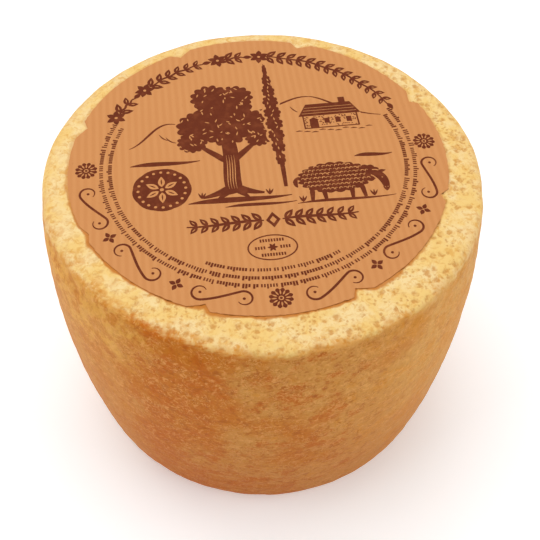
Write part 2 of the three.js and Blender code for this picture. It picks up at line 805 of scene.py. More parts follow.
@dataclass(frozen=True)
class TopFinish:
    """The top face's colours: cream with butter and golden clouds, amber at the edge, brown pits."""

    pattern: RindPattern
    cream: Colour = (0.88, 0.66, 0.32)
    butter: Colour = (0.86, 0.58, 0.20)
    golden: Colour = (0.74, 0.39, 0.085)
    pit_brown: Colour = (0.58, 0.255, 0.055)
    amber: Colour = (0.68, 0.28, 0.04)
    clouds: Texture = Texture(95.0, 4.0, 0.65)
    butter_share: Ease = Ease(0.38, 0.60)
    curds: Texture = Texture(420.0, 3.0, 0.65, 0.8, ease=Ease(0.48, 0.68, 0.0, 0.75))
    grain_share: Ease = Ease(0.52, 0.75, 0.0, 0.3)
    uneven: Ease = Ease(0.3, 0.7, -3.0, 3.0)
    front: Facing = Facing((-0.15, -0.99), 0.35, 0.85)
    edge_share: Ease = Ease(3.2, -2.0, 0.0, 0.8)
    edge_at_front: Ease = Ease(0.0, 1.0, 0.3, 1.0)
    speckle: Texture = Texture(520.0, 4.0, 0.7, drift=(0.6, 0.3, 0.2), ease=Ease(0.50, 0.60, 0.0, 0.8))
    speckle_band: Ease = Ease(7.0, -1.0)
    speckle_at_front: Ease = Ease(0.0, 1.0, 0.4, 1.0)
    blotches: Texture = Texture(260.0, 3.0, 0.6, drift=(0.2, 0.5, 0.0), ease=Ease(0.48, 0.62, 0.0, 0.75))
    worn_band: Ease = Ease(11.0, 2.0)
    worn_side: Facing = Facing(WORN_WAY, 0.70, 0.95)
    pit_share: float = 0.72

    def build(self, graph: Graph, pits: Socket, grain: Socket) -> Socket:
        """Colours the top face.

        Args:
            graph: The material's graph.
            pits: The mask of the pits.
            grain: The fine grain.

        Returns:
            The colour's socket.
        """
        clouds = graph.noise(self.clouds)
        base = graph.blend(graph.ease(clouds, self.butter_share), self.cream, self.butter)
        base = graph.blend(graph.noise(self.curds), base, self.golden)
        base = graph.blend(graph.ease(grain, self.grain_share), base, self.golden)
        rim = graph.plus(self.pattern.edge_distance(graph), graph.ease(clouds, self.uneven))
        front = self.pattern.facing(graph, self.front)
        edge = graph.times(graph.ease(rim, self.edge_share), graph.ease(front, self.edge_at_front))
        base = graph.blend(edge, base, self.amber)
        speckled = graph.times(
            graph.noise(self.speckle),
            graph.ease(rim, self.speckle_band),
            graph.ease(front, self.speckle_at_front),
        )
        base = graph.blend(speckled, base, self.amber)
        worn = graph.times(
            graph.noise(self.blotches),
            graph.ease(rim, self.worn_band),
            self.pattern.facing(graph, self.worn_side),
        )
        base = graph.blend(worn, base, self.amber)
        return graph.blend(graph.times(pits, self.pit_share), base, self.pit_brown)


@dataclass(frozen=True)
class SideFinish:
    """The side's colours: ochre with tan, honey and russet patches, dark and pale fibres and specks, and a
    painted sheen that pales it towards its left and right silhouettes.
    """

    pattern: RindPattern
    ochre: Colour = (0.565, 0.172, 0.012)
    tan: Colour = (0.625, 0.280, 0.056)
    honey: Colour = (0.68, 0.270, 0.026)
    russet: Colour = (0.54, 0.128, 0.006)
    umber: Colour = (0.42, 0.100, 0.006)
    straw: Colour = (0.82, 0.41, 0.12)
    # Paler wheat towards the left and right silhouettes: partly the rind's own tone, partly a painted grazing
    # sheen.
    wheat_sheen: Colour = (0.76, 0.43, 0.115)
    gold: Colour = (0.75, 0.375, 0.07)
    russet_side: Facing = Facing((-0.35, -0.94), 0.35, 0.92)
    russet_patches: float = 0.07
    russet_broad: float = -0.05
    tan_side: Facing = Facing((0.80, -0.60), 0.2, 0.95)
    tan_patches: float = -0.09
    tan_broad: float = 0.16
    broad: Texture = Texture(36.0, 3.0, 0.6, drift=(0.4, 0.2, 0.1))
    tan_share: Ease = Ease(0.44, 0.64)
    across: Facing = Facing((1.0, 0.0), -1.0, 1.0)
    silhouette_sheen_share: Ease = Ease(0.32, 0.48, 0.0, 0.45)
    honey_share: Ease = Ease(0.46, 0.33, 0.0, 0.65)
    # Keeps russet and the dark marks to the middle of the side and thins them towards the silhouettes, as
    # part of the painted sheen.
    central_share: Ease = Ease(0.42, 0.28, 0.45, 1.0)
    russet_share: Ease = Ease(0.50, 0.63, 0.0, 0.90)
    bloom_contrast: float = -1.6
    bloom_share: Ease = Ease(0.38, 0.88, 0.0, 0.9)
    blotches: Texture = Texture(240.0, 3.0, 0.6, drift=(0.2, 0.5, 0.0), ease=Ease(0.47, 0.60, 0.0, 0.8))
    spots: Texture = Texture(300.0, 4.0, 0.7, drift=(0.3, 0.1, 0.6))
    dark_spots: Ease = Ease(0.54, 0.66, 0.0, 0.65)
    pale_spots: Ease = Ease(0.44, 0.34, 0.0, 0.40)
    dark_fibres: Ease = Ease(0.48, 0.32, 0.0, 0.45)
    pale_fibres: Ease = Ease(0.56, 0.70, 0.0, 0.45)
    curl_share: float = 0.55
    fleck_share: float = 0.4
    slit_share: float = 0.55
    foot_shade: Ease = Ease(95.0 * MM, 20.0 * MM, 0.0, 0.40)

    def build(self, graph: Graph, fibres: Socket, curls: Socket, slits: Socket, flecks: Socket) -> Socket:
        """Colours the side.

        Args:
            graph: The material's graph.
            fibres: The pattern of fine fibres.
            curls: The mask of the curly threads.
            slits: The mask of the cracks.
            flecks: The mask of the fine flecks.

        Returns:
            The colour's socket.
        """
        reddened = self.pattern.facing(graph, self.russet_side)
        paled = self.pattern.facing(graph, self.tan_side)
        patches = graph.plus(
            self.pattern.patches(graph),
            graph.times(reddened, self.russet_patches),
            graph.times(paled, self.tan_patches),
        )
        broad = graph.plus(
            graph.noise(self.broad),
            graph.times(paled, self.tan_broad),
            graph.times(reddened, self.russet_broad),
        )
        base = graph.blend(graph.ease(broad, self.tan_share), self.ochre, self.tan)
        # Painted sheen: paler wheat and fewer dark marks towards the left and right silhouettes, partly real
        # tone, partly painted highlight.
        across = self.pattern.facing(graph, self.across)
        outer = graph.math("ABSOLUTE", graph.plus(across, -0.5))
        central = graph.ease(outer, self.central_share)
        base = graph.blend(graph.ease(outer, self.silhouette_sheen_share), base, self.wheat_sheen)
        base = graph.blend(graph.ease(patches, self.honey_share), base, self.honey)
        russet = graph.times(graph.ease(patches, self.russet_share), central)
        base = graph.blend(russet, base, self.russet)
        broken = graph.times(graph.plus(patches, -0.5), self.bloom_contrast)
        bloom = graph.ease(graph.plus(self.pattern.bloom(graph), broken), self.bloom_share)
        base = graph.blend(bloom, base, self.gold)
        base = graph.blend(graph.times(graph.noise(self.blotches), bloom), base, self.ochre)
        spots = graph.noise(self.spots)
        layers = (
            (graph.times(graph.ease(spots, self.dark_spots), central), self.umber),
            (graph.ease(spots, self.pale_spots), self.straw),
            (graph.times(graph.ease(fibres, self.dark_fibres), central), self.umber),
            (graph.ease(fibres, self.pale_fibres), self.straw),
            (graph.times(curls, self.curl_share), self.straw),
            (graph.times(flecks, self.fleck_share), self.straw),
            (graph.times(slits, self.slit_share, central), self.umber),
            (graph.ease(graph.axes(graph.place)[2], self.foot_shade), self.umber),
        )
        for share, colour in layers:
            base = graph.blend(share, base, colour)
        return base


@dataclass(frozen=True)
class LabelStainAndShadow:
    """The oily stain that the label's edge leaves on the rind, with the label's contact shadow painted into
    it, strongest at the front.
    """

    pattern: RindPattern
    # Oil-darkened rind with the label's contact shadow painted in: partly a real stain, partly painted
    # shadow.
    oil_and_shadow: Colour = (0.54, 0.170, 0.018)
    width: Texture = Texture(160.0, 3.0, ease=Ease(0.35, 0.68, 0.7 * MM, 2.1 * MM))
    line: Ease = Ease(1.0, 0.35)
    front: Facing = Facing((-0.2, -0.98), -0.2, 0.75)
    front_share: Ease = Ease(0.0, 1.0, 0.25, 0.9)

    def build(self, graph: Graph, base: Socket) -> Socket:
        """Stains the top face's colour and paints the label's contact shadow on it.

        Args:
            graph: The material's graph.
            base: The colour without the stain and the painted shadow.

        Returns:
            The stained and shaded colour's socket.
        """
        # The stain and the painted contact shadow fade out from the label's edge and are strongest at the
        # front.
        gap = graph.add("ShaderNodeAttribute", attribute_name=Mark.LABEL_GAP.value).outputs["Fac"]
        line = graph.ease(graph.math("DIVIDE", gap, graph.noise(self.width)), self.line)
        front = graph.ease(self.pattern.facing(graph, self.front), self.front_share)
        return graph.blend(graph.times(line, front), base, self.oil_and_shadow)


@dataclass(frozen=True)
class RindFinish:
    """The rind: cream and pitted on top, mottled orange-brown and fibrous down the side."""

    pattern: RindPattern
    roughness: float = 0.62
    gloss: float = 0.12
    speck: Speck = Speck(520.0, 0.62, 1300.0)
    worn_roughness: Ease = Ease(0.2, 0.8, 0.50, 0.74)
    pit_relief: float = -0.2
    fibre_relief: float = 0.40
    curl_relief: float = 0.12
    slit_relief: float = -0.12
    grain_relief: float = 0.12
    relief_depth: float = 0.40 * MM

    def build(self, flecks_group: FlecksGroup) -> Material:
        """Makes the material.

        Args:
            flecks_group: The shared group of flecks and grain.

        Returns:
            The rind's material.
        """
        shader = Shader("natural_rind", self.roughness, self.gloss)
        graph = shader.graph
        top = graph.add("ShaderNodeAttribute", attribute_name=Mark.TOP_SHARE.value).outputs["Fac"]
        side = graph.minus(1.0, top)
        flecks, grain = flecks_group.place(graph, graph.place, self.speck)
        pits = self.pattern.pits(graph)
        fibres = self.pattern.fibres(graph)
        curls = self.pattern.curls(graph)
        slits = self.pattern.slits(graph)
        top_colour = TopFinish(self.pattern).build(graph, pits, grain)
        # The label's oily stain and its painted contact shadow round its edge.
        top_colour = LabelStainAndShadow(self.pattern).build(graph, top_colour)
        side_colour = SideFinish(self.pattern).build(graph, fibres, curls, slits, flecks)
        shader.wear(graph.blend(top, side_colour, top_colour), graph.ease(grain, self.worn_roughness))
        relief = graph.plus(
            graph.times(pits, top, self.pit_relief),
            graph.times(fibres, side, self.fibre_relief),
            graph.times(curls, side, self.curl_relief),
            graph.times(slits, side, self.slit_relief),
            graph.times(grain, self.grain_relief),
        )
        shader.emboss(relief, self.relief_depth)
        return shader.material


@dataclass(frozen=True)
class PaperFinish:
    """Ribbed kraft paper: warm brown, with soft ribs up the label and fine fibre flecks."""

    turn: float
    kraft: Colour = (0.600, 0.252, 0.083)
    pale: Colour = (0.632, 0.276, 0.095)
    fleck: Colour = (0.49, 0.18, 0.05)
    roughness: float = 0.82
    gloss: float = 0.2
    rib_pitch: float = 2.6 * MM
    rib_wander: Texture = Texture(60.0, 1.0)
    wander_squash: float = 0.2
    wander_reach: float = 1.2 * MM
    speck: Speck = Speck(900.0, 0.72, 1900.0)
    speck_squash: float = 0.28
    clouds: Texture = Texture(55.0, 3.0, ease=Ease(0.4, 0.75, 0.0, 0.4))
    fleck_share: float = 0.35
    worn_roughness: Ease = Ease(0.2, 0.8, 0.72, 0.9)
    rib_relief: float = 0.6
    grain_relief: float = 0.4
    relief_depth: float = 0.08 * MM

    def build(self, flecks_group: FlecksGroup) -> Material:
        """Makes the material.

        Args:
            flecks_group: The shared group of flecks and grain.

        Returns:
            The paper's material.
        """
        shader = Shader("ribbed_kraft_paper", self.roughness, self.gloss)
        graph = shader.graph
        straight = graph.add("ShaderNodeMapping", vector_type="TEXTURE")
        graph.feed(straight.inputs["Vector"], graph.place)
        straight.inputs["Rotation"].default_value = (0.0, 0.0, self.turn)
        ribs = self.ribs(graph, straight.outputs[0])
        drawn = graph.stretch(straight.outputs[0], 1.0, self.speck_squash, 1.0)
        flecks, grain = flecks_group.place(graph, drawn, self.speck)
        base = graph.blend(ribs, self.kraft, self.pale)
        base = graph.blend(graph.noise(self.clouds), base, self.kraft)
        base = graph.blend(graph.times(flecks, self.fleck_share), base, self.fleck)
        shader.wear(base, graph.ease(grain, self.worn_roughness))
        relief = graph.plus(graph.times(ribs, self.rib_relief), graph.times(grain, self.grain_relief))
        shader.emboss(relief, self.relief_depth)
        return shader.material

    def ribs(self, graph: Graph, place: Socket) -> Socket:
        """The paper's soft ribs, a little uneven, running up the label."""
        wander = graph.noise(self.rib_wander, graph.stretch(place, 1.0, self.wander_squash, 0.0))
        across = graph.plus(graph.axes(place)[0], graph.times(wander, self.wander_reach))
        wave = graph.math("SINE", graph.times(across, 2.0 * math.pi / self.rib_pitch))
        return graph.ease(wave, Ease(-1.0, 1.0))


@dataclass(frozen=True)
class InkFinish:
    """Matt red-brown printing ink, laid on a little thinner in patches."""

    ink: Colour = (0.140, 0.025, 0.007)
    thin: Colour = (0.22, 0.052, 0.016)
    roughness: float = 0.7
    gloss: float = 0.12
    speck: Speck = Speck(1100.0, 0.7, 1500.0)
    patches: Texture = Texture(260.0, 3.0, 0.6, ease=Ease(0.45, 0.75, 0.0, 0.7))
    fleck_share: float = 0.25
    worn_roughness: Ease = Ease(0.2, 0.8, 0.6, 0.8)
    relief_depth: float = 0.02 * MM

    def build(self, flecks_group: FlecksGroup) -> Material:
        """Makes the material.

        Args:
            flecks_group: The shared group of flecks and grain.

        Returns:
            The ink's material.
        """
        shader = Shader("printing_ink", self.roughness, self.gloss)
        graph = shader.graph
        flecks, grain = flecks_group.place(graph, graph.place, self.speck)
        colour = graph.blend(graph.noise(self.patches), self.ink, self.thin)
        colour = graph.blend(graph.times(flecks, self.fleck_share), colour, self.thin)
        shader.wear(colour, graph.ease(grain, self.worn_roughness))
        shader.emboss(grain, self.relief_depth)
        return shader.material


# ---- The cheese ----


@dataclass
class CheeseWheel:
    """The cheese itself, raised ring by ring from its foot, smoothed and given the rind's relief."""

    height: float
    widest_radius: float
    edge_inset: float = 2.2 * MM
    edge_drop: float = 2.6 * MM
    edge_run: float = 2.6 * MM
    shoulder_inset: float = 0.25
    shoulder_fall: float = 0.35
    foot_inset: float = 5.3 * MM
    foot_run: float = 8.0 * MM
    foot_rise: float = 9.0 * MM
    foot_steps: int = 3
    side_bulge: float = 4.0 * MM
    segments: int = 56
    side_rings: int = 11
    smoothing: int = 3
    top_insets: tuple[float, ...] = (5.5 * MM, 5.5 * MM, 10.0 * MM, 18.0 * MM, 18.0 * MM)
    foot_insets: tuple[float, ...] = (8.0 * MM, 18.0 * MM, 20.0 * MM)

    @property
    def edge_radius(self) -> float:
        """The radius of the top edge."""
        return self.widest_radius - self.edge_inset

    def stations(self) -> list[tuple[float, float]]:
        """The rings of the side, from the foot's flat to the top face's.

        Returns:
            Each ring's radius and height.
        """
        foot_radius = self.widest_radius - self.foot_inset
        rings: list[tuple[float, float]] = []
        for step in range(self.foot_steps):
            angle = step / self.foot_steps * math.pi / 2.0
            radius = foot_radius - self.foot_run * (1.0 - math.sin(angle))
            rings.append((radius, self.foot_rise * (1.0 - math.cos(angle))))
        low = self.foot_rise
        high = self.height - self.edge_drop
        for ring in range(self.side_rings + 1):
            share = ring / self.side_rings
            straight = foot_radius + (self.edge_radius - foot_radius) * share
            bulge = self.side_bulge * 4.0 * share * (1.0 - share)
            rings.append((straight + bulge, low + (high - low) * share))
        shoulder = self.edge_radius - self.shoulder_inset * self.edge_run
        rings.append((shoulder, self.height - self.shoulder_fall * self.edge_drop))
        rings.append((self.edge_radius - self.edge_run, self.height))
        return rings

    def build(self) -> Piece:
        """Raises the wheel.

        Returns:
            The smooth wheel, without its relief.
        """
        rings = self.stations()
        bpy.ops.object.select_all(action="DESELECT")
        bpy.ops.mesh.primitive_circle_add(
            vertices=self.segments, radius=rings[0][0], fill_type="NGON", location=(0.0, 0.0, 0.0)
        )
        wheel = bpy.context.object
        wheel.name = wheel.data.name = "pressed_cheese"
        bpy.ops.object.mode_set(mode="EDIT")
        for (radius, height), (next_radius, next_height) in zip(rings, rings[1:]):
            rise = {"value": (0.0, 0.0, next_height - height)}
            bpy.ops.mesh.extrude_region_move(TRANSFORM_OT_translate=rise)
            growth = next_radius / radius
            bpy.ops.transform.resize(value=(growth, growth, 1.0), center_override=(0.0, 0.0, next_height))
        inset_selected(self.top_insets)
        bpy.ops.object.mode_set(mode="OBJECT")
        self.inset_foot(wheel)
        smooth = wheel.modifiers.new("smoothing", "SUBSURF")
        smooth.levels = smooth.render_levels = self.smoothing
        apply_modifiers(wheel)
        return wheel

    def inset_foot(self, wheel: Piece) -> None:
        """Selects the foot's face by its place, steps it inwards and turns every face outwards.

        Args:
            wheel: The wheel in object mode.
        """
        select_only(wheel)
        for face in wheel.data.polygons:
            face.select = len(face.vertices) == self.segments and face.center.z < self.foot_rise
        bpy.ops.object.mode_set(mode="EDIT")
        bpy.ops.mesh.select_mode(type="FACE")
        inset_selected(self.foot_insets)
        bpy.ops.mesh.select_all(action="SELECT")
        bpy.ops.mesh.normals_make_consistent(inside=False)
        bpy.ops.object.mode_set(mode="OBJECT")

    def weather(self, wheel: Piece, pattern: RindPattern) -> None:
        """Presses the rind's relief into the wheel.

        Args:
            wheel: The smooth wheel.
            pattern: The pattern that the relief follows.
        """
        add_nodes(wheel, RindRelief(pattern).build())
        apply_modifiers(wheel)
        select_only(wheel)
        bpy.ops.object.shade_smooth()

    def stain_and_shade(self, wheel: Piece, label: Piece) -> None:
        """Marks on the wheel how far each place lies from the label, for the stain and the painted contact
        shadow round its edge.

        Args:
            wheel: The weathered wheel.
            label: The finished label.
        """
        add_nodes(wheel, label_gap(label))
        apply_modifiers(wheel)


# ---- The label ----


@dataclass(frozen=True)
class PaperLift:
    """How the paper rises off the cheese towards its rim, as a geometry node group that the print shares."""

    centre: Point
    radius: float
    start: float = 0.74
    end: float = 1.06
    rise: float = 0.02 * MM
    ripple: float = 0.08 * MM
    waves: Texture = Texture(48.0, 1.0)

    def build(self) -> Tree:
        """Builds the group.

        Returns:
            The geometry node tree.
        """
        graph = GeometryGraph("paper_lift")
        x, y = self.centre
        flat = graph.stretch(graph.shift(graph.place, (-x, -y, 0.0)), 1.0, 1.0, 0.0)
        rim = graph.ease(graph.length(flat), Ease(self.start * self.radius, self.end * self.radius))
        ripple = graph.ease(graph.noise(self.waves, flat), Ease(0.25, 0.75, 0.0, self.ripple))
        upwards = graph.add("ShaderNodeCombineXYZ")
        graph.feed(upwards.inputs[2], graph.times(rim, graph.plus(ripple, self.rise)))
        graph.move(upwards.outputs[0])
        return graph.finish()


@dataclass(frozen=True)
class Notch:
    """One notch in the label's rim: how far it sits from its even place, and its two flanks."""

    drift: float
    steps_before: int
    steps_after: int
    depth: float


@dataclass
class PaperLabel:
    """The round label: kraft paper with eight notches snipped in its rim."""

    centre: Point
    radius: float
    underside: float
    turn: float
    thickness: float = 0.22 * MM
    notches: tuple[Notch, ...] = (
        Notch(0.5, 4, 3, 1.6 * MM),
        Notch(0.0, 5, 2, 2.5 * MM),
        Notch(-2.2, 2, 5, 2.7 * MM),
        Notch(0.0, 3, 3, 2.2 * MM),
        Notch(-1.9, 2, 5, 2.6 * MM),
        Notch(0.7, 5, 3, 3.0 * MM),
        Notch(-1.5, 5, 3, 2.8 * MM),
        Notch(0.0, 3, 5, 2.5 * MM),
    )
    fray: float = 0.08 * MM
    fray_passes: int = 4
    fray_skip: int = 3
    fray_seed: int = 4
    smooth_below: float = math.radians(40.0)
    segments: int = 384
    rim_inset: float = 3.4 * MM
    ring_insets: tuple[float, ...] = (2.4 * MM,) * 6 + (8.0 * MM, 16.0 * MM, 16.0 * MM)

    def build(self, lift: Tree) -> Piece:
        """Cuts the label out, gives it its thickness and lets its rim rise.

        Args:
            lift: The geometry node group that raises the rim.

        Returns:
            The label.
        """
        bpy.ops.object.select_all(action="DESELECT")
        bpy.ops.mesh.primitive_circle_add(
            vertices=self.segments,
            radius=self.radius,
            fill_type="NGON",
            location=(*self.centre, self.underside),
            rotation=(0.0, 0.0, self.turn),
        )
        label = bpy.context.object
        label.name = label.data.name = "kraft_label"
        bpy.ops.object.mode_set(mode="EDIT")
        inset_selected((self.rim_inset, *self.ring_insets))
        bpy.ops.object.mode_set(mode="OBJECT")
        rim = self.rim(label)
        dice = random.Random(self.fray_seed)
        for _ in range(self.fray_passes):
            self.draw_in(label, dice.sample(rim, len(rim) // self.fray_skip), self.fray)
        for index, notch in enumerate(self.notches):
            self.snip(label, rim, (index + 0.5) / len(self.notches), notch)
        settle(label)
        add_thickness(label, self.thickness)
        add_nodes(label, lift)
        apply_modifiers(label)
        select_only(label)
        bpy.ops.object.shade_smooth_by_angle(angle=self.smooth_below)
        return label

    def rim(self, label: Piece) -> list[int]:
        """The rim's vertices, in order round the flat label.

        Args:
            label: The flat label.

        Returns:
            Their indices.
        """
        inner = self.radius - 0.5 * self.rim_inset
        rim = [vertex for vertex in label.data.vertices if vertex.co.length > inner]
        rim.sort(key=lambda vertex: math.atan2(vertex.co.y, vertex.co.x))
        return [vertex.index for vertex in rim]

    def snip(self, label: Piece, rim: list[int], share: float, notch: Notch) -> None:
        """Draws one V-shaped notch into the rim.

        Args:
            label: The flat label.
            rim: The rim's vertices in order round the label.
            share: The notch's even place, as a share of the way round.
            notch: Its drift, flanks and depth.
        """
        middle = round(len(rim) * (share + notch.drift / 360.0))
        for step in range(1 - notch.steps_before, notch.steps_after):
            steps = notch.steps_before if step < 0 else notch.steps_after
            vertex = rim[(middle + step) % len(rim)]
            self.draw_in(label, [vertex], notch.depth * (1.0 - abs(step) / steps))

    def draw_in(self, label: Piece, indices: list[int], distance: float) -> None:
        """Draws some rim vertices in towards the label's middle.

        Args:
            label: The flat label, in object mode.
            indices: The vertices to move.
            distance: How far they move.
        """
        select_only(label)
        bpy.ops.object.mode_set(mode="EDIT")
        bpy.ops.mesh.select_mode(type="VERT")
        bpy.ops.mesh.select_all(action="DESELECT")
        bpy.ops.object.mode_set(mode="OBJECT")
        for index in indices:
            label.data.vertices[index].select = True
        bpy.ops.object.mode_set(mode="EDIT")
        shrink = (self.radius - distance) / self.radius
        bpy.ops.transform.resize(value=(shrink, shrink, 1.0), center_override=(*self.centre, self.underside))
        bpy.ops.object.mode_set(mode="OBJECT")


# ---- Drawing: outlines in label radii ----

LOBE_STEPS = 5
LEAF_FULLNESS = 0.85
CUT_TOLERANCE = 1e-6


def polar(radius: float, degrees: float, centre: Point = (0.0, 0.0)) -> Point:
    """A point at a distance and an angle from a centre."""
    angle = math.radians(degrees)
    return centre[0] + radius * math.cos(angle), centre[1] + radius * math.sin(angle)


def block(corner: Point, wide: float, tall: float) -> Outline:
    """An upright rectangle from its lower left corner."""
    x, y = corner
    return [(x, y), (x + wide, y), (x + wide, y + tall), (x, y + tall)]


def oval(centre: Point, across: float, up: float, steps: int = 24) -> Outline:
    """An ellipse with the given half axes."""
    turns = (2.0 * math.pi * step / steps for step in range(steps))
    return [(centre[0] + across * math.cos(turn), centre[1] + up * math.sin(turn)) for turn in turns]


def scalloped(
    centre: Point, across: float, up: float, lobes: int, depth: float, turn: float = 0.0
) -> Outline:
    """An ellipse with a lobed edge, such as a tree's crown or a fleece.

    Args:
        centre: The middle.
        across: The half axis along X.
        up: The half axis along Y.
        lobes: How many lobes go round.
        depth: How far the edge dips between lobes, as a share of the half axes.
        turn: The first dip's angle, in degrees.

    Returns:
        The outline.
    """
    steps = lobes * LOBE_STEPS
    outline: Outline = []
    for step in range(steps):
        angle = 2.0 * math.pi * step / steps
        dip = 1.0 - depth * (1.0 - abs(math.sin(0.5 * lobes * angle)))
        around = angle + math.radians(turn)
        outline.append((centre[0] + across * dip * math.cos(around), centre[1] + up * dip * math.sin(around)))
    return outline


def leaf(base: Point, length: float, width: float, degrees: float, steps: int = 6) -> Outline:
    """A pointed leaf or petal that grows from its base at an angle."""
    cosine = math.cos(math.radians(degrees))
    sine = math.sin(math.radians(degrees))
    shares = [step / steps for step in range(steps + 1)]
    upper = [(share * length, 0.5 * width * math.sin(math.pi * share**LEAF_FULLNESS)) for share in shares]
    lower = [(x, -y) for x, y in reversed(upper[1:-1])]
    return [(base[0] + x * cosine - y * sine, base[1] + x * sine + y * cosine) for x, y in upper + lower]


def curve(start: Point, pull: Point, second_pull: Point, end: Point, steps: int = 14) -> Outline:
    """The points of a cubic Bezier curve."""
    points: Outline = []
    for step in range(steps + 1):
        share = step / steps
        rest = 1.0 - share
        weights = (rest**3, 3.0 * rest**2 * share, 3.0 * rest * share**2, share**3)
        ends = (start, pull, second_pull, end)
        points.append(tuple(sum(w * p[axis] for w, p in zip(weights, ends)) for axis in (0, 1)))
    return points


def stroke(path: Outline, widest: float, tip: float = 0.25, fullest: float = 0.5) -> Outline:
    """Thickens a path into a pen stroke that swells and thins.

    Args:
        path: The stroke's middle line.
        widest: Its full width where it is widest.
        tip: Its width at both ends, as a share of the widest.
        fullest: Where along the path it is widest, from 0 to 1.

    Returns:
        The stroke's outline.
    """
    last = len(path) - 1
    left: Outline = []
    right: Outline = []
    for index, (x, y) in enumerate(path):
        before = path[max(index - 1, 0)]
        after = path[min(index + 1, last)]
        run, rise = after[0] - before[0], after[1] - before[1]
        length = math.hypot(run, rise)
        share = index / last
        swell = share / fullest if share < fullest else (1.0 - share) / (1.0 - fullest)
        half = 0.5 * widest * (tip + (1.0 - tip) * math.sin(0.5 * math.pi * swell))
        left.append((x - half * rise / length, y + half * run / length))
        right.append((x + half * rise / length, y - half * run / length))
    return left + right[::-1]


@dataclass(frozen=True)
class Sweep:
    """One curved pen stroke: its four Bezier points, how finely it is drawn, and its widths."""

    start: Point
    pull: Point
    second_pull: Point
    end: Point
    steps: int
    widest: float
    tip: float = 0.25
    fullest: float = 0.5

    def outline(self, foot: Point = (0.0, 0.0), halo: float = 0.0) -> Outline:
        """Draws the stroke.

        Args:
            foot: Where its points are placed from.
            halo: How much wider than its own width it is drawn.

        Returns:
            Its outline.
        """
        points = (self.start, self.pull, self.second_pull, self.end)
        path = curve(*((foot[0] + x, foot[1] + y) for x, y in points), self.steps)
        return stroke(path, self.widest + halo, self.tip, self.fullest)


def round_the_ring(outline: Outline, radius: float, degrees: float) -> Outline:
    """Bends an outline drawn along X, with Y outwards, round the label's middle.

    Args:
        outline: The outline about its own origin.
        radius: The radius that its X axis bends round.
        degrees: Where on the ring its origin goes.

    Returns:
        The bent outline.
    """
    return [polar(radius + y, degrees + math.degrees(x / radius)) for x, y in outline]


def counter_clockwise(outline: Outline) -> Outline:
    """The outline, turned round if it runs clockwise."""
    following = outline[1:] + outline[:1]
    area = sum(x * next_y - next_x * y for (x, y), (next_x, next_y) in zip(outline, following))
    return outline if area > 0.0 else outline[::-1]


@dataclass
class Artwork:
    """One printed piece: outlines laid in order, each inking or reserving the paper under it."""

    name: str
    layers: list[tuple[Outline, Paint]] = field(default_factory=list)

    def ink(self, *outlines: Outline) -> None:
        """Inks inside each outline."""
        self.layers.extend((outline, Paint.INK) for outline in outlines)

    def reserve(self, *outlines: Outline) -> None:
        """Keeps the inside of each outline free of the ink laid so far."""
        self.layers.extend((outline, Paint.RESERVE) for outline in outlines)

    def faces(self) -> tuple[list[Vector], list[list[int]]]:
        """Cuts the layers into triangles and keeps those whose topmost outline inks them.

        Returns:
            The corners and the kept triangles.
        """
        corners: list[Vector] = []
        loops: list[list[int]] = []
        for outline, _ in self.layers:
            first = len(corners)
            corners.extend(Vector(point) for point in counter_clockwise(outline))
            loops.append(list(range(first, len(corners))))
        cut = delaunay_2d_cdt(corners, [], loops, 1, CUT_TOLERANCE)
        points, triangles, sources = cut[0], cut[2], cut[5]
        kept = [
            triangle
            for triangle, source in zip(triangles, sources)
            if source and self.layers[max(source)][1] is Paint.INK
        ]
        return points, kept


@dataclass
class InkPress:
    """Lays artwork on the label as thin closed films of ink that follow the paper."""

    centre: Point
    radius: float
    paper_top: float
    turn: float
    lift: Tree
    material: Material
    sunk: float = 0.06 * MM
    proud: float = 0.05 * MM

    def print(self, artwork: Artwork) -> Piece:
        """Makes one printed piece.

        Args:
            artwork: The outlines to print, in label radii.

        Returns:
            The film of ink.
        """
        points, triangles = artwork.faces()
        mesh = bpy.data.meshes.new(artwork.name)
        mesh.from_pydata([(*(point * self.radius), 0.0) for point in points], [], triangles)
        film = bpy.data.objects.new(artwork.name, mesh)
        bpy.context.scene.collection.objects.link(film)
        film.location = (*self.centre, self.paper_top - self.sunk)
        film.rotation_euler = (0.0, 0.0, self.turn)
        settle(film)
        self.tidy(film)
        add_thickness(film, self.sunk + self.proud)
        add_nodes(film, self.lift)
        apply_modifiers(film)
        finish_piece(film, self.material)
        return film

    def tidy(self, film: Piece) -> None:
        """Drops loose points and turns every face of the flat film upwards.

        Args:
            film: The flat film.
        """
        select_only(film)
        bpy.ops.object.mode_set(mode="EDIT")
        bpy.ops.mesh.select_all(action="SELECT")
        bpy.ops.mesh.delete_loose()
        bpy.ops.mesh.select_all(action="SELECT")
        bpy.ops.mesh.normals_make_consistent(inside=False)
        bpy.ops.object.mode_set(mode="OBJECT")
        if film.data.polygons[0].normal.z < 0.0:
            film.data.flip_normals()


# ---- What is printed ----

BOTH_SIDES = (-1.0, 1.0)


